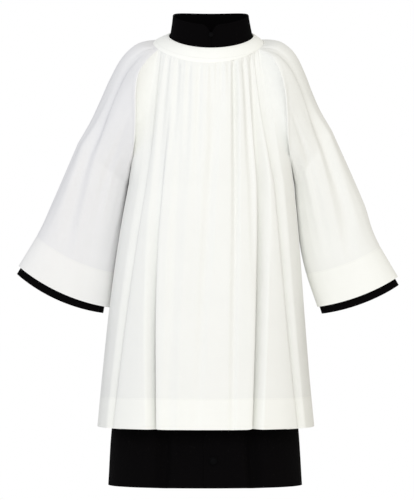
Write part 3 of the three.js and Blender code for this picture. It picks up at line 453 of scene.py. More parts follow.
def panel_surface(panel, turn, level):
    made = panel["body"]
    middle = 0 if panel["facing"] == "front" else 180
    drop = np.where(level <= 1, made["bust"], lerp(made["bust"], made["hem"], level - 1))
    ring = ring_point(made["rings"], drop, middle + turn)
    top = panel_top(panel, turn)
    fall = np.minimum(level, 1)[..., None]
    straight, rounded = lerp(top, ring, fall), lerp(top, ring, 1 - (1 - fall) ** 2)
    return np.stack([straight[..., 0], rounded[..., 1], straight[..., 2]], axis=-1)


def softened(surface, made, turn, level, window):
    """A surface averaged over a few degrees each way, which rounds off the corners of its top edge."""
    shares = np.linspace(-1, 1, 9)
    weights = np.cos(shares * math.pi / 2) ** 2 + 0.05
    parts = [w * surface(made, turn + window * s, level) for s, w in zip(shares, weights)]
    return sum(parts) / weights.sum()


# %% [markdown]
# Folds are placed one by one. Each row says where a fold runs (its turn at the neck, the bust and the hem),
# how deep it sinks there, the half width of cloth in it, and how it leans: a fold that leans has a soft
# slope on one side and a rolled edge on the other, which hangs over it. This is what gives a crisp light
# edge beside a dark line. A fold is far easier to aim this way than by simulating the cloth.

# %% Folds
FOLD = "neck bust hem sink_neck sink_chest sink_bust sink_hem half lean roll_bust roll_hem rise"
CHEST = 0.35  # the level where sink_chest holds
FRONT_FOLDS = table(
    FOLD,
    (-56, -53, -60, 1, 3, 8, 21, 19, 0.3, 0.1, 0.3, 0),
    (-36, -35.5, -26.2, 1, 2, 10, 46, 19, 0.3, 0.02, 0.45, 4),
    (-28, -19, -17, 1, 2.5, 4, 3, 20, 0, 0, 0, 0),
    (8, 1, -4, 1.5, 3.5, 5, 1, 15, 0, 0, 0, 0),
    (24, 15.5, 10.5, 1.5, 7, 7, 3, 11, 0.1, 0, 0, 0),
    (46, 36.4, 23.3, 2, 11, 27, 52, 20, -0.35, 0.04, 0.5, 7),
    (56, 52, 59, 1, 10, 21, 30, 20, -0.3, 0.12, 0.25, 0),
)
BACK_FOLDS = table(
    FOLD,
    (-52, -55, -61, 1, 4, 10, 22, 20, 0.3, 0.1, 0.2, 0),
    (-34, -32, -36, 1, 5, 13, 34, 18, 0.3, 0.2, 0.35, 3),
    (-14, -13, -12, 1, 3, 7, 13, 19, 0, 0, 0.05, 0),
    (10, 9, 12, 1.5, 5, 12, 36, 18, -0.3, 0.2, 0.35, 4),
    (30, 30, 33, 1, 3, 7, 15, 19, 0, 0, 0.05, 0),
    (50, 54, 59, 1, 4, 11, 23, 20, -0.3, 0.1, 0.2, 0),
)
SKIRT_FOLDS = table(
    FOLD,
    (-20, -20, -24, 0, 0, 0, 15, 26, 0.1, 0, 0, 0),
    (20, 20, 27, 0, 0, 0, 17, 26, -0.1, 0, 0, 0),
)
EDGE_SHARE = 0.62  # how much of the rolled side of a fold is its steep wall


def fold_shape(fold, turn, level, per_degree):
    """How far one fold moves the cloth in, along its row and up."""
    place = through(fold["neck"], fold["bust"], fold["hem"], level)
    sinks = [fold["sink_" + at] for at in ("neck", "chest", "bust", "hem")]
    depths = table("level sink", *zip((0, CHEST, 1, 2), sinks))
    depth = along(depths, "level", level, "sink")
    roll = through(0, fold["roll_bust"], fold["roll_hem"], level) * fold["half"]
    way = 1 if fold["lean"] >= 0 else -1
    s = np.clip((turn - place) * per_degree / fold["half"], -1, 1) * way
    lean = abs(fold["lean"])
    soft = np.clip((lean - s) / (1 + lean), 0, 1)
    steep = np.clip((s - lean) / (1 - lean), 0, 1)
    soft_sink = np.cos(soft * math.pi / 2) ** 2
    wall = np.cos(np.minimum(steep / EDGE_SHARE, 1) * math.pi / 2) ** 2
    plain = np.cos(steep * math.pi / 2) ** 2
    sharp = min(lean / 0.3, 1) * 0.85 * ease((level - 0.3) / 0.7)
    sink = depth * np.where(s < lean, soft_sink, lerp(plain, wall, sharp))
    over = np.sin(np.clip(steep / (2 * EDGE_SHARE), 0, 1) * math.pi) ** 2
    slide = way * roll * (0.45 * np.sin(soft * math.pi) ** 2 - over)
    rise = fold["rise"] * ease((level - 1.8) / 0.2) * np.where(s < lean, soft_sink, plain)
    return sink, slide, rise


print("folds:", len(FRONT_FOLDS), "in front,", len(BACK_FOLDS), "behind,", len(SKIRT_FOLDS), "in each skirt")

# %% [markdown]
# The panels are gathered on to the neck band. A real gathering thread draws the cloth up unevenly, so
# each little trough has its own depth, width and length, and only some of them run far down the chest.

# %% Gathers
GATHER = "neck bust deep half reach"
FRONT_GATHERS = table(
    GATHER,
    (-54, -51, 1.8, 10, 0.6),
    (-48, -45, 1.3, 8, 0.35),
    (-41, -38.5, 3.2, 12, 1.5),
    (-35, -31.5, 1.3, 7, 0.3),
    (-29.4, -26, 3.4, 12, 1.5),
    (-23.4, -19.5, 1.5, 7, 0.4),
    (-18, -14, 3.0, 11, 1.7),
    (-12.6, -10, 1.5, 6, 0.3),
    (-8, -6, 3.0, 11, 1.5),
    (-2.4, -2.6, 1.8, 7, 0.4),
    (2.4, 0.6, 2.8, 10, 1.3),
    (7.4, 4, 2.6, 7, 0.35),
    (12, 7, 3.2, 9, 0.7),
    (18.6, 10.5, 2.2, 7, 0.3),
    (25, 15.8, 6.0, 11, 1.6),
    (30.6, 21, 2.2, 6, 0.3),
    (35.6, 27, 6.2, 12, 1.8),
    (41, 33, 2.2, 7, 0.35),
    (46, 39.5, 5.6, 12, 1.6),
    (52, 47, 4.2, 11, 0.8),
)
BACK_GATHERS = table(
    GATHER,
    (-54, -52, 2.0, 7, 0.4),
    (-47, -47, 2.4, 8, 0.6),
    (-43, -43, 1.6, 6, 0.3),
    (-38, -37, 2.5, 7, 0.5),
    (-29.5, -27, 2.6, 8, 0.75),
    (-25, -23, 1.7, 5, 0.3),
    (-20.5, -18, 2.4, 7, 0.55),
    (-9.5, -8, 2.7, 8, 0.7),
    (-5.5, -4, 1.6, 5, 0.25),
    (-1, -1, 2.5, 7, 0.6),
    (3.8, 3, 2.2, 6, 0.4),
    (14.5, 13, 2.6, 8, 0.8),
    (18.5, 18, 1.7, 5, 0.3),
    (23, 22, 2.4, 7, 0.5),
    (36, 36, 2.6, 8, 0.65),
    (41, 42, 1.8, 6, 0.35),
    (45.5, 47, 2.3, 7, 0.5),
    (54, 54, 2.1, 7, 0.4),
)
GATHERS_STAND = 2.2  # how far the gathered cloth stands up below the band
PUCKER = dict(high=0.6, long=11, count=34)  # the finest puckers, at the stitches


def trough(gather, turn, level, per_degree):
    """The shape of one gather across its row, 1 in its middle and 0 at its sides."""
    place = through(gather["neck"], gather["bust"], gather["bust"], level)
    return np.cos(np.clip((turn - place) * per_degree / gather["half"], -1, 1) * math.pi / 2) ** 2


def gather_lift(gathers, turn, level, per_degree, below):
    """How far the gathers lift the cloth, at a distance below the neck seam."""
    on_neck = ease((NECK_TURN + 1 - np.abs(turn)) / 5)
    stand = GATHERS_STAND * np.clip(1 - level / 0.85, 0, 1)
    lift = stand * ease(below / 14)
    for g in gathers:
        fade = np.clip(1 - level / g["reach"], 0, 1) ** 1.3 * (0.2 + 0.8 * ease(below / 16))
        lift -= 1.5 * g["deep"] * fade * trough(g, turn, level, per_degree)
    x = turn / NECK_TURN
    wave = np.sin(math.pi * PUCKER["count"] * x + 2.2 * np.sin(9 * x + 0.6) + 1.4 * np.sin(23 * x))
    lift += PUCKER["high"] * wave * np.exp(-below / PUCKER["long"]) * ease(below / 5)
    return lift * on_neck


print("gathers:", len(FRONT_GATHERS), "in front and", len(BACK_GATHERS), "behind")

# %% [markdown]
# Every piece is a grid of points: rows go down from its top edge and columns go round it. Columns are
# set closer together where the folds are, and flow down with them. A second grid, one cloth's thickness
# inside, closes the piece, so it is a real shell with edges and has an inside to look at.


# %% Columns and rows
START_LEVELS = [0, 0.006, 0.013, 0.021, 0.03, 0.04, 0.052, 0.066, 0.082]  # close rows below a top edge


def levels_of(*stretches):
    """The levels of a piece's rows, from stretches of (start, end, count)."""
    return np.concatenate([START_LEVELS, *[np.linspace(*stretch) for stretch in stretches], [2.0]])


def column_turns(levels, spans, counts, folds):
    """The turn of each column in each row. spans are stretches of turn and counts their columns."""
    rows = []
    for level in levels:
        widening, crowd = lerp(2.0, 3.6, level / 2), float(through(0.3, 1.2, 2.6, level))
        turns = []
        for (start, end), count in zip(spans, counts):
            fine = np.linspace(start, end, 1200)
            density = np.ones_like(fine)
            for f in folds:
                place = float(through(f["neck"], f["bust"], f["hem"], level))
                extra = crowd * min(f["sink_hem"] / 30, 1.2)
                density += extra * np.exp(-(((fine - place) / (f["half"] * 0.75 / widening)) ** 2))
            total = np.concatenate([[0], np.cumsum((density[1:] + density[:-1]) / 2)])
            turns.append(np.interp(np.linspace(0, total[-1], count + 1), total, fine)[:-1])
        rows.append(np.concatenate([*turns, [spans[-1][1]]]))
    return np.array(rows)


def slopes_of(grid, ring):
    """The row direction, the way down and the length of one column, at each point of a grid."""
    if ring:
        padded = np.concatenate([grid[:, -1:], grid, grid[:, :1]], axis=1)
        row = (padded[:, 2:] - padded[:, :-2]) / 2
    else:
        row = np.gradient(grid, axis=1)
    return unit(row), unit(np.gradient(grid, axis=0)), np.linalg.norm(row, axis=-1)


def normals_of(grid, ring, hand):
    row, fall, _ = slopes_of(grid, ring)
    return unit(np.cross(row, fall) * hand)


def run_down(grid):
    """How far each point is from the top edge, along its own column."""
    steps = np.linalg.norm(np.diff(grid, axis=0), axis=-1)
    return np.concatenate([np.zeros((1, grid.shape[1])), np.cumsum(steps, axis=0)])


def run_up(grid):
    return run_down(grid)[-1:] - run_down(grid)


def run_across(grid, ring):
    """How far each point is from the first column, along its own row. A ring has one column more."""
    if ring:
        grid = np.concatenate([grid, grid[:, :1]], axis=1)
    steps = np.linalg.norm(np.diff(grid, axis=1), axis=-1)
    return np.concatenate([np.zeros((grid.shape[0], 1)), np.cumsum(steps, axis=1)], axis=1)


# %% A closed shell from a grid
def shell_faces(rows, columns, ring):
    """Quads of a closed shell, as numbers of the grid's corners, and the vertex each corner belongs to."""
    wide = columns + 1 if ring else columns
    corner = np.arange(rows * wide).reshape(rows, wide)
    vertex = (np.arange(rows)[:, None] * columns + np.arange(wide)[None, :] % columns).ravel()
    a, b, c, d = corner[:-1, :-1], corner[1:, :-1], corner[1:, 1:], corner[:-1, 1:]
    skin = np.stack([a, b, c, d], -1).reshape(-1, 4)
    inner = rows * wide

    def rim(line):
        return np.stack([line[:-1], line[1:], line[1:] + inner, line[:-1] + inner], -1)

    faces = [skin, skin[:, ::-1] + inner, rim(corner[0]), rim(corner[-1][::-1])]
    if not ring:
        faces += [rim(corner[::-1, 0]), rim(corner[:, -1])]
    return np.concatenate(faces), np.concatenate([vertex, vertex + rows * columns])


def out_facing(points, looped):
    """Whether the faces of a closed shell point out, by the volume they close."""
    p = points[looped]
    return sum((p[:, 0] * np.cross(p[:, i], p[:, i + 1])).sum() for i in (1, 2)) >= 0


def cloth_shell(name, grid, thick, ring, hand, material):
    """A piece of cloth from the grid of its outer side, in millimetres. thick is a number or a grid."""
    inner = grid - normals_of(grid, ring, hand) * np.broadcast_to(thick, grid.shape[:2])[..., None]
    points = np.concatenate([grid.reshape(-1, 3), inner.reshape(-1, 3)]) * MM
    faces, vertex = shell_faces(*grid.shape[:2], ring)
    if not out_facing(points, vertex[faces]):
        faces = faces[:, ::-1]
    down, across, up = run_down(grid), run_across(grid, ring), run_up(grid)
    if ring:
        up = np.concatenate([up, up[:, :1]], axis=1)
    uv = np.stack([across - across.mean(axis=1, keepdims=True), up], -1).reshape(-1, 2) * MM
    uv, from_top = np.concatenate([uv, uv]), np.concatenate([down.ravel(), down.ravel()]) * MM

    mesh = bpy.data.meshes.new(name)
    mesh.from_pydata(points.tolist(), [], vertex[faces].tolist())
    mesh.uv_layers.new(name="cloth").data.foreach_set("uv", uv[faces].astype(np.float32).ravel())
    mesh.attributes.new("from_top", "FLOAT", "POINT").data.foreach_set("value", from_top.astype(np.float32))
    mesh.materials.append(material)
    piece = new_object(name, mesh)
    bpy.ops.object.select_all(action="DESELECT")
    piece.select_set(True)
    bpy.context.view_layer.objects.active = piece
    bpy.ops.object.shade_smooth_by_angle(angle=math.radians(50))
    width, length = across[:, -1].max() * MM, down[-1].max() * MM
    print(f"{name}: {2 * len(faces)} triangles, {width:.3f} m wide and {length:.3f} m long as cut")
    return piece


# %% [markdown]
# The surplice's front and back. Where the neck band covers it, the cloth is tucked a little way under
# the band. Beside an arm seam the cloth dips to the stitches, and at the top of the doubled hem a row of
# stitches pulls it in.

# %% Surplice front and back
GROOVE = dict(deep=0.7, wide=2.2)  # how a seam pulls the cloth in
HEM_GROOVE = dict(deep=0.45, wide=2.0)
UNDER_BAND = dict(lower=0.1, deep=9)  # how the cloth is tucked under the neck band


def groove(distance, shape):
    return shape["deep"] * np.exp(-((distance / shape["wide"]) ** 2))


def tuck(on_arm, below):
    return UNDER_BAND["lower"] * (1 - on_arm) * (1 - ease(below / UNDER_BAND["deep"]))


def doubled_below(grid, deep):
    """The cloth's thickness where it is turned up at its lower edge, and above that."""
    return SURPLICE["cloth"] + SURPLICE["turn_up"] * (run_up(grid) < deep)


def ripple(turn, level, seed):
    """Slow uneven movement of the cloth between its folds."""
    return (
        0.9 * np.sin(turn * 0.08 + 2.1 * level + seed)
        + 0.5 * np.sin(turn * 0.15 - 1.3 * level + 2.7 * seed)
        + 0.2 * np.sin(turn * 0.31 + 3.1 * level + 1.9 * seed)
    )


def folded_grid(base, turn, level, folds, ring, hand, extra):
    """A grid with its folds. extra(per_degree, below) is what else lifts the cloth."""
    row, fall, column = slopes_of(base, ring)
    step = 360 / turn.shape[1] if ring else np.gradient(turn, axis=1)
    per_degree = column / np.abs(step)
    normal = unit(np.cross(row, fall) * hand)
    grid = base + normal * extra(per_degree, run_down(base))[..., None]
    for fold in folds:
        sink, slide, rise = fold_shape(fold, turn, level, per_degree)
        grid += row * slide[..., None] - normal * sink[..., None] + vec(0, 0, rise)
    return grid


PANEL_LEVELS = levels_of((0.1, 1.0, 38), (1.02, 1.84, 44), (1.8525, 1.995, 20))


def surplice_panel(name, facing, folds, gathers, seed):
    panel = dict(facing=facing, body=surplice_body)
    spans = [(-UNDERARM_TURN, -NECK_TURN), (-NECK_TURN, NECK_TURN), (NECK_TURN, UNDERARM_TURN)]
    turn = column_turns(PANEL_LEVELS, spans, (44, 236, 44), folds)
    level = np.repeat(PANEL_LEVELS[:, None], turn.shape[1], axis=1)
    to_side = UNDERARM_TURN - np.abs(turn)
    window = 7 * ease(level / 0.35) * ease((1 - level) / 0.3) * ease(to_side / 12)
    base = softened(panel_surface, panel, turn, level, window)
    inside = ease(to_side / 5)
    on_arm = ease((np.abs(turn) - NECK_TURN) / 1.5)
    still = inside * np.where(on_arm > 0, ease(level / 0.12), 1)

    def extra(per_degree, below):
        lift = gather_lift(gathers, turn, level, per_degree, below)
        lift += ripple(turn, level, seed) * ease((level - 0.25) / 0.4) * inside
        lift -= on_arm * groove(below, GROOVE) + groove(to_side * per_degree, GROOVE)
        return lift - groove(run_up(base) - HEM_DEEP, HEM_GROOVE) - tuck(on_arm, below)

    grid = folded_grid(base, turn, level, folds, False, -1, extra)
    grid = lerp(base, grid, still[..., None])
    return cloth_shell(name, grid, doubled_below(grid, HEM_DEEP), False, -1, white_body)


surplice_front = surplice_panel("SurpliceFrontPanel", "front", FRONT_FOLDS, FRONT_GATHERS, 0.4)
surplice_back = surplice_panel("SurpliceBackPanel", "back", BACK_FOLDS, BACK_GATHERS, 2.3)

# %% [markdown]
# A raglan sleeve runs from the neck band over the shoulder and down the arm. It is drawn as a tube of
# slanted rings. Turn goes round the arm: 0 along its top, 90 in front, 180 at the underarm. The seam
# allowance is pressed towards the sleeve, where it shows as a narrow raised ridge beside the seam.

# %% Sleeve sizes
SLEEVE_RING = "level outX outZ inX inZ middle deep sag"
RIGHT_SLEEVE = table(
    SLEEVE_RING,
    (1, -276, -214, -169, -306, 22, 61, 0),
    (1.5, -334, -345, -187, -420, 42, 55, 3),
    (1.8, -362, -405, -198, -489, 48, 52, 6),
    (2, -404, -475, -207.5, -564, 50, 50, 14),
)
LEFT_SLEEVE = table(
    SLEEVE_RING,
    (1, 265, -186, 185, -302, 18, 61, 0),
    (1.5, 331, -338, 195, -415, 30, 56, 3),
    (1.8, 358, -415, 209, -486, 25, 54, 5),
    (2, 405, -498, 234, -562, 16, 51, 9),
)
SHOULDER = table(
    "level lift swell",
    (0, 0, 0),
    (0.06, 17, 1),
    (0.13, 28, 2),
    (0.27, 34, 4),
    (0.45, 27, 5),
    (0.62, 16, 5),
    (0.8, 6, 3),
    (1, 0, 0),
)
SHOULDER_WIDE = 34
INNER_SLEEVE = dict(at_first=14, at_cuff=3.8, right_underarm=9, flatter=3.5, beyond=17)
ALLOWANCE = dict(high=0.7, start=1.5, end=13)  # the ridge beside an arm seam
SLEEVE_FOLDS = table(
    FOLD,
    (30, 58, 84, 0, 3, 11, 0, 26, 0, 0, 0, 0),
    (-30, -70, -90, 0, 2, 9, 0, 26, 0, 0, 0, 0),
    (130, 128, 132, 0, 1, 5, 0, 28, 0, 0, 0, 0),
    (-118, -125, -128, 0, 2, 6, 0, 24, 0, 0, 0, 0),
    (96, 100, 108, 0, 1, 3, 0, 16, 0, 0, 0, 0),
)
print("the sleeves end", -RIGHT_SLEEVE[-1]["inZ"], "and", -LEFT_SLEEVE[-1]["inZ"], "mm down")


# %% The surface of a sleeve
def from_halves(turn, seam, side, run):
    """A sleeve's top edge: the front seam where it faces ahead and the back seam behind."""
    return np.where((turn >= 0)[..., None], seam("front", side, run), seam("back", side, run))


def raglan_top(side, turn):
    size, (ahead, behind) = np.abs(turn), RAGLAN_STARTS.values()
    arm = from_halves(turn, raglan_seam, side, np.clip((size - SHOULDER_WIDE) / (180 - SHOULDER_WIDE), 0, 1))
    ends = np.where(turn >= 0, ahead, behind)
    neck = neck_point(BAND_OUTER, side * lerp((ahead + behind) / 2, ends, size / SHOULDER_WIDE))
    return np.where((size <= SHOULDER_WIDE)[..., None], neck, arm)


def armhole_top(side, turn):
    return from_halves(turn, armhole_seam, side, lerp(ARMHOLE_START, 1, np.abs(turn) / 180))


def sleeve_ring(sleeve, turn, level):
    read = {c: along(sleeve["rings"], "level", level, c) for c in SLEEVE_RING.split()[1:]}
    outer = vec(read["outX"], read["middle"], read["outZ"])
    inner = vec(read["inX"], read["middle"], read["inZ"])
    ahead, across = map(squarer, sin_cos(turn))
    half = (outer - inner) / 2
    down = unit(vec(half[..., 2], 0, -half[..., 0])) * sleeve["side"]
    sag = read["sag"] * (1 - across**2)
    flat = (outer + inner) / 2 + half * across[..., None] + down * sag[..., None]
    return flat + vec(0, -read["deep"] * ahead, 0)


def sleeve_surface(sleeve, turn, level):
    turn = (turn + 180) % 360 - 180
    ring = sleeve_ring(sleeve, turn, np.maximum(level, 1))
    fall = np.minimum(level, 1)
    ahead, across = sin_cos(turn)
    over = np.maximum(across, 0) ** 1.5
    lift = along(SHOULDER, "level", fall, "lift") * sleeve["rounding"] * over
    swell = along(SHOULDER, "level", fall, "swell") * ahead
    upper = lerp(sleeve["top"](sleeve["side"], turn), ring, fall[..., None])
    upper = upper + vec(0.72 * sleeve["side"] * lift, -swell, 0.69 * lift)
    return np.where((level >= 1)[..., None], ring, upper)


# %% Surplice sleeves
SLEEVE_LEVELS = levels_of((0.1, 1.0, 40), (1.025, 1.7, 28), (1.715, 1.985, 19))
SHOULDER_GATHERS = table(GATHER, (27, 34, 2.4, 8, 0.3), (-26, -32, 1.5, 8, 0.25))


def ring_columns(levels, count):
    """The turn of each column of a tube, the same in every row, and the level of each row."""
    return np.meshgrid(-180 + 360 * (np.arange(count) + 1) / count, levels)


def surplice_sleeve(name, side, rings, rounding, seed, material):
    sleeve = dict(side=side, rings=rings, top=raglan_top, rounding=rounding)
    turn, level = ring_columns(SLEEVE_LEVELS, 180)
    window = 12 * ease(level / 0.3) * ease((1.05 - level) / 0.3)
    base = softened(sleeve_surface, sleeve, turn, level, window)
    on_arm = ease((np.abs(turn) - SHOULDER_WIDE) / 3)
    underarm = 180 - np.abs(turn)

    def extra(per_degree, below):
        loose = ease((level - 0.2) / 0.5) * (1 - 0.7 * ease((level - 1.5) / 0.4))
        lift = ripple(turn, level, seed) * 1.3 * loose * ease(underarm / 20)
        ridge = ease((below - ALLOWANCE["start"]) / 1.5) * (1 - ease((below - ALLOWANCE["end"]) / 2))
        lift += on_arm * (ALLOWANCE["high"] * ridge - groove(below, GROOVE))
        lift -= groove(underarm * per_degree, GROOVE) + groove(run_up(base) - CUFF_DEEP, HEM_GROOVE)
        for g in SHOULDER_GATHERS:
            fade = np.clip(1 - level / g["reach"], 0, 1) * ease(below / 10)
            lift -= g["deep"] * fade * trough(g, turn, level, per_degree)
        return lift - tuck(on_arm, below)

    grid = folded_grid(base, turn, level, SLEEVE_FOLDS, True, side, extra)
    return cloth_shell(name, grid, doubled_below(grid, CUFF_DEEP), True, side, material)


surplice_right = surplice_sleeve("SurpliceRightSleeve", -1, RIGHT_SLEEVE, 1.0, 1.1, white_sleeve_shaded)
surplice_left = surplice_sleeve("SurpliceLeftSleeve", 1, LEFT_SLEEVE, 1.12, 3.4, white_sleeve)

# %% [markdown]
# The neck band is a strip of the same cloth folded double round the tops of all four pieces. Two rows of
# stitches hold it, one near each edge, and its lower edge ripples a little over the gathers.


# %% Neck band
def neck_band():
    bearing, share = np.meshgrid(np.linspace(0, 360, 240, endpoint=False), np.linspace(0, 1, 22))
    flat = lerp(neck_point(BAND_INNER, bearing), neck_point(BAND_OUTER, bearing), share[..., None])
    down = run_down(flat)
    lift = BAND["crown"] * 4 * share * (1 - share)
    for distance in (down, run_up(flat)):
        lift = lift - 0.5 * np.exp(-distance / 1.8) - 0.1 * np.exp(-(((distance - 2.5) / 1.0) ** 2))
    around = np.radians(bearing)
    lift += 0.15 * share**3 * np.sin(around * 41 + 2 * np.sin(around * 7))
    grid = flat + normals_of(flat, True, -1) * lift[..., None]
    return cloth_shell("SurpliceNeckBand", grid, BAND["cloth"], True, -1, white_band)


surplice_band = neck_band()

# %% [markdown]
# The cassock shows at the neck, at the cuffs and below the surplice. It is a dark, close, matt wool
# suiting. Its left front laps over the right one, and the lapped edge is stitched twice, which raises
# two faint lines beside it.

# %% Cassock body
OPENING = dict(edge=-8, underlap=32, lap=2.5, lap_ease=34)
EDGE_STITCHES = (4.0, 9.0)  # distances of the two rows of stitches from the front edge
CASSOCK_LEVELS = np.concatenate([np.linspace(0, 1, 30), np.linspace(1.02, 1.992, 74), [2.0]])


def turn_at_x(panel, x, level):
    """The turn where each level of a panel passes a given x."""
    low, high = np.full(level.shape, -40.0), np.full(level.shape, 40.0)
    for _ in range(40):
        middle = (low + high) / 2
        short = panel_surface(panel, middle, level)[..., 0] < x
        low, high = np.where(short, middle, low), np.where(short, high, middle)
    return (low + high) / 2


def lap_lift(x):
    return OPENING["lap"] * (1 - ease((x - OPENING["underlap"]) / OPENING["lap_ease"]))


def cassock_panel(name, facing, from_x, to_x, columns, seed):
    panel = dict(facing=facing, body=cassock_body)
    ends = np.full(CASSOCK_LEVELS.shape, float(UNDERARM_TURN))
    start = -ends if from_x is None else turn_at_x(panel, from_x, CASSOCK_LEVELS)
    end = ends if to_x is None else turn_at_x(panel, to_x, CASSOCK_LEVELS)
    share = np.linspace(0, 1, columns)
    if from_x is not None:
        share = share**1.6
    turn = lerp(start[:, None], end[:, None], share[None, :])
    level = np.repeat(CASSOCK_LEVELS[:, None], columns, axis=1)
    base = panel_surface(panel, turn, level)
    to_side = UNDERARM_TURN - np.abs(turn)

    def extra(per_degree, _):
        lift = ripple(turn, level, seed) * 0.8 * ease((level - 1) / 0.5) * ease(to_side / 8)
        lift -= groove(to_side * per_degree, GROOVE)
        lift -= groove(base[..., 2] + CASSOCK["waist"], GROOVE)
        if from_x is not None:
            lift += lap_lift(base[..., 0])
            for stitched in EDGE_STITCHES:
                lift += 0.45 * np.exp(-(((base[..., 0] - from_x - stitched) / 1.1) ** 2))
        return lift

    grid = folded_grid(base, turn, level, SKIRT_FOLDS, False, -1, extra)
    return cloth_shell(name, grid, CASSOCK["cloth"], False, -1, black_suiting)


cassock_right = cassock_panel("CassockRightFront", "front", None, OPENING["underlap"], 90, 1.7)
cassock_left = cassock_panel("CassockLeftFront", "front", OPENING["edge"], None, 120, 1.7)
cassock_back = cassock_panel("CassockBack", "back", None, None, 180, 2.9)


# %% Cassock sleeves
def inner_rings(rings, underarm_at_cuff):
    """The surplice's sleeve rings, drawn in, and carried on beyond its cuff."""
    made = []
    for r in rings:
        level = r["level"] - 1
        inset = lerp(INNER_SLEEVE["at_first"], INNER_SLEEVE["at_cuff"], level)
        underarm = lerp(INNER_SLEEVE["at_first"], underarm_at_cuff, level)
        across = unit(np.array([r["outX"] - r["inX"], r["outZ"] - r["inZ"]], float))
        further = INNER_SLEEVE["beyond"] if level == 1 else 0
        down = np.array([across[1], -across[0]]) * np.sign(r["outX"]) * further
        out_x, out_z = (r["outX"], r["outZ"]) - across * inset + down
        in_x, in_z = (r["inX"], r["inZ"]) + across * underarm + down
        deep = r["deep"] - inset - INNER_SLEEVE["flatter"]
        made.append({**r, "outX": out_x, "outZ": out_z, "inX": in_x, "inZ": in_z, "deep": deep})
    return made


def cassock_sleeve(name, side, rings, underarm_at_cuff):
    rings = inner_rings(rings, underarm_at_cuff)
    sleeve = dict(side=side, rings=rings, top=armhole_top, rounding=0.2)
    turn, level = ring_columns(np.linspace(0, 2, 60), 120)
    base = sleeve_surface(sleeve, turn, level)

    def extra(per_degree, below):
        from_seam = (level - CASSOCK["forearm"]) * below[-1].mean() / 2
        seams = groove((180 - np.abs(turn)) * per_degree, GROOVE) + groove(from_seam, GROOVE)
        return -seams - groove(run_up(base) - 6, HEM_GROOVE)

    grid = folded_grid(base, turn, level, [], True, side, extra)
    return cloth_shell(name, grid, CASSOCK["cloth"], True, side, black_suiting)


cassock_sleeve_right = cassock_sleeve("CassockRightSleeve", -1, RIGHT_SLEEVE, INNER_SLEEVE["right_underarm"])
cassock_sleeve_left = cassock_sleeve("CassockLeftSleeve", 1, LEFT_SLEEVE, INNER_SLEEVE["at_cuff"])

# %% [markdown]
# The stand collar is two layers with a stiffener between them. Its two ends meet at the front below a
# notch, and the top edge is turned over and stitched, which leaves a narrow roll along it.

# %% Collar
COLLAR_ROLL = dict(high=0.35, deep=4.0)


def collar_point(bearing, up):
    low = neck_point(COLLAR_SEAM, bearing)
    out = unit(vec(low[..., 0] - COLLAR_SEAM["shift"], low[..., 1], 0))
    rise = lerp(low, neck_point(COLLAR_TOP, bearing), up[..., None])
    return rise + out * (COLLAR["flare"] * ((1 - up) ** 3 - 1))[..., None]


def stand_collar():
    gap = math.degrees(COLLAR["meet"] / 2 / COLLAR_SEAM["half"])
    half = gap + (180 - gap) * np.linspace(0, 1, 130) ** 1.5
    bearing, share = np.meshgrid([*half, *(360 - half[-2::-1])], 1 - np.linspace(0, 1, 30) ** 1.2)
    from_end = COLLAR_SEAM["half"] * np.radians(np.minimum(bearing, 360 - bearing))
    cut = COLLAR["notch_deep"] * np.maximum(1 - from_end / COLLAR["notch_wide"], 0) ** 2.6
    flat = collar_point(bearing, share * (1 - cut / (COLLAR_TOP["side"] - COLLAR_SEAM["side"])))
    edge = np.minimum(run_down(flat), from_end)
    lift = COLLAR_ROLL["high"] * (1 - ease((edge - COLLAR_ROLL["deep"]) / 1.2)) - 0.9 * np.exp(-edge / 0.7)
    grid = flat + normals_of(flat, False, -1) * lift[..., None]
    return cloth_shell("CassockCollar", grid, COLLAR["cloth"], False, -1, black_collar)


cassock_collar = stand_collar()

# %% [markdown]
# Buttons are black moulded plastic, a little glossy, with a raised rim round a dished middle. One is
# modelled from a cylinder: its top is inset and pushed down for the dish, its bottom narrowed, and its
# edges bevelled. The others are copies, each with its own mesh, turned to face out of the cloth.

# %% Button material
button_black, tree, shader = new_material("BlackPolyesterButton", Specular_IOR_Level=0.03)
spots = node(tree, "ShaderNodeTexCoord").outputs["Object"]
grain = node(tree, "ShaderNodeTexNoise", Vector=spots, Scale=900.0, Detail=2.0).outputs["Fac"]
tree.links.new(carried(tree, grain, 0.4, 0.55), shader.inputs["Roughness"])
tree.links.new(mixed(tree, grain, linear("#020203"), linear("#060607")), shader.inputs["Base Color"])

# %% One button
BUTTON = dict(diameter=16, thick=4.5, dish=0.8, rim=1.6, x=12, eye=0.25, foot=0.7, rounding=0.5)
BUTTON_DROPS = dict(first=122, last=882, count=8)
COLLAR_BUTTON = dict(diameter=10, up=0.68)
SEAM_GAP = 0.3


def select_level(made, height):
    """Selects only the level face at a height."""
    bpy.ops.mesh.select_all(action="DESELECT")
    bpy.ops.object.mode_set(mode="OBJECT")
    for polygon in made.data.polygons:
        corners = [made.data.vertices[v].co.z for v in polygon.vertices]
        polygon.select = all(abs(z - height) < 0.01 * MM for z in corners)
    bpy.ops.object.mode_set(mode="EDIT")


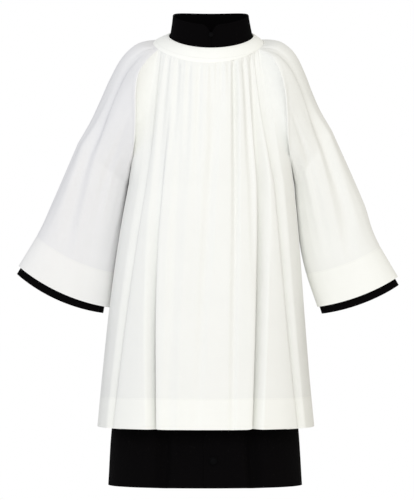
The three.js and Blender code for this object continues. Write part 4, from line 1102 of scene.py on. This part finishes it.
def model_button(name, diameter):
    """A button that lies face up on the origin."""
    radius, high = diameter / 2 * MM, BUTTON["thick"] * MM
    bpy.ops.object.select_all(action="DESELECT")
    bpy.ops.mesh.primitive_cylinder_add(vertices=48, radius=radius, depth=high, location=(0, 0, high / 2))
    made = bpy.context.object
    made.name = name
    bpy.ops.object.transform_apply(location=True)
    bpy.ops.object.mode_set(mode="EDIT")
    bpy.ops.mesh.select_mode(type="FACE")
    select_level(made, high)
    bpy.ops.mesh.inset(thickness=BUTTON["rim"] * MM)
    bpy.ops.mesh.inset(thickness=BUTTON["rim"] * 0.5 * MM)
    bpy.ops.transform.translate(value=(0, 0, -BUTTON["dish"] * MM))
    bpy.ops.mesh.inset(thickness=radius * 0.3)
    bpy.ops.transform.translate(value=(0, 0, BUTTON["eye"] * MM))
    select_level(made, 0)
    bpy.ops.transform.resize(value=(BUTTON["foot"], BUTTON["foot"], 1))
    bpy.ops.object.mode_set(mode="OBJECT")
    bevel = made.modifiers.new("RoundedEdges", "BEVEL")
    bevel.width = BUTTON["rounding"] * MM
    bevel.segments = 3
    bevel.limit_method = "ANGLE"
    bevel.angle_limit = math.radians(25)
    bpy.ops.object.modifier_apply(modifier=bevel.name)
    bpy.ops.object.shade_smooth_by_angle(angle=math.radians(35))
    made.data.uv_layers.remove(made.data.uv_layers[0])  # its material is laid out by place instead
    made.data.materials.append(button_black)
    return made


def button_face(panel, x, drop):
    """Where a button sits on the cassock's front, and the way it faces."""
    neck_z = float(panel_top(panel, np.array(5.0))[2])
    bust, hem = CASSOCK["bust"], CASSOCK["hem"]
    level = 1 + (drop - bust) / (hem - bust) if drop >= bust else (drop + neck_z) / (bust + neck_z)
    middle = float(turn_at_x(panel, x, np.array([level]))[0])
    turn, levels = np.meshgrid(middle + np.array([-0.5, 0, 0.5]), level + np.array([-0.02, 0, 0.02]))
    grid = panel_surface(panel, turn, levels)
    row, fall, column = slopes_of(grid, False)
    normal = unit(np.cross(row, fall) * -1)[1, 1]
    sink = sum(fold_shape(f, turn, levels, column / 0.5)[0] for f in SKIRT_FOLDS)[1, 1]
    return grid[1, 1] + normal * (OPENING["lap"] + SEAM_GAP - sink), normal


def put_button(name, pattern, point, normal):
    """A copy of a button on the cloth, with its place in its mesh."""
    mesh = pattern.data.copy()
    turn = Vector((0, 0, 1)).rotation_difference(Vector(normal)).to_matrix().to_4x4()
    mesh.transform(Matrix.Translation(Vector(point * MM)) @ turn)
    return new_object(name, mesh)


large_button = model_button("LargeButton", BUTTON["diameter"])
small_button = model_button("SmallButton", COLLAR_BUTTON["diameter"])
front = dict(facing="front", body=cassock_body)
buttons = {}
drops = np.linspace(BUTTON_DROPS["first"], BUTTON_DROPS["last"], BUTTON_DROPS["count"])
for number, drop in enumerate(drops, start=1):
    point, normal = button_face(front, BUTTON["x"], float(drop))
    buttons[f"cassock_button_{number}"] = put_button(f"FrontButton{number}", large_button, point, normal)
rise = unit(neck_point(COLLAR_TOP, 0) - neck_point(COLLAR_SEAM, 0))
outward = np.array([0, -rise[2], rise[1]])
collar_front = collar_point(np.array(0.0), np.array(COLLAR_BUTTON["up"])) + outward * SEAM_GAP
buttons["cassock_collar_button"] = put_button("CollarButton", small_button, collar_front, outward)
for pattern in (large_button, small_button):
    bpy.data.objects.remove(pattern)
print("buttons:", len(buttons), "of", len(buttons["cassock_button_1"].data.polygons), "faces")

# %% [markdown]
# Last, each piece is tied to the body it rides on, and the solids it stands for are hidden. A
# long cassock panel or sleeve is one piece of cloth on the two solids that its plain seam joins.

# %% What each piece stands for
PIECES = [
    (surplice_front, "surplice_cloth", "surplice_front"),
    (surplice_back, "surplice_cloth", "surplice_back"),
    (surplice_right, "surplice_cloth", "surplice_sleeve_right"),
    (surplice_left, "surplice_cloth", "surplice_sleeve_left"),
    (surplice_band, "surplice_band", "surplice_neck_band"),
    (cassock_right, "cassock_cloth", "cassock_front_right", "cassock_front_right_skirt"),
    (cassock_left, "cassock_cloth", "cassock_front_left", "cassock_front_left_skirt"),
    (cassock_back, "cassock_cloth", "cassock_back", "cassock_back_skirt"),
    (cassock_sleeve_right, "cassock_cloth", "cassock_sleeve_right", "cassock_sleeve_right_forearm"),
    (cassock_sleeve_left, "cassock_cloth", "cassock_sleeve_left", "cassock_sleeve_left_forearm"),
    (cassock_collar, "cassock_cloth", "cassock_collar"),
    *[(button, "button", name) for name, button in buttons.items()],
]
for piece, slot, *stands_for in PIECES:
    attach(piece, "root")
    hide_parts(*stands_for)
print("pieces:", len(PIECES))


# %% [markdown]
# Each sheet is listed with the size it was cut to: its widest row, its longest column and its flat area,
# all in metres and measured on the cloth itself. A panel narrows to its neck and its armholes, and a sleeve
# to its seam, so every area is less than width times length. The surplice hangs from its neck band, the band
# lies on the cassock's shoulders, and the cassock hangs from the collar that the wearer's neck holds.

# %% How each sheet was cut
CASSOCK_BODY = [cassock_right, cassock_left, cassock_back]
SHEETS = table(
    "piece held rests_on width length area",
    (surplice_front, "gathered", [surplice_band], 0.94, 0.83, 0.5),
    (surplice_back, "gathered", [surplice_band], 0.925, 0.84, 0.475),
    (surplice_right, "hung", [surplice_band, cassock_sleeve_right], 0.79, 0.6, 0.205),
    (surplice_left, "hung", [surplice_band, cassock_sleeve_left], 0.79, 0.62, 0.2),
    (surplice_band, "folded", CASSOCK_BODY, 0.69, 0.04, 0.021),
    (cassock_right, "hung", [cassock_collar], 0.455, 0.96, 0.244),
    (cassock_left, "hung", [cassock_collar], 0.433, 0.955, 0.223),
    (cassock_back, "hung", [cassock_collar], 0.842, 0.96, 0.422),
    (cassock_sleeve_right, "hung", CASSOCK_BODY, 0.487, 0.52, 0.166),
    (cassock_sleeve_left, "hung", CASSOCK_BODY, 0.436, 0.54, 0.164),
    (cassock_collar, "folded", [], 0.552, 0.071, 0.031),
)
for s in SHEETS:
    piece, flat = s["piece"], (s["width"], s["length"])
    one_side = sum(p.area for p in piece.data.polygons) / 2
    print(piece.name, "cut from", s["area"], "and now", round(one_side, 3), "square metres")
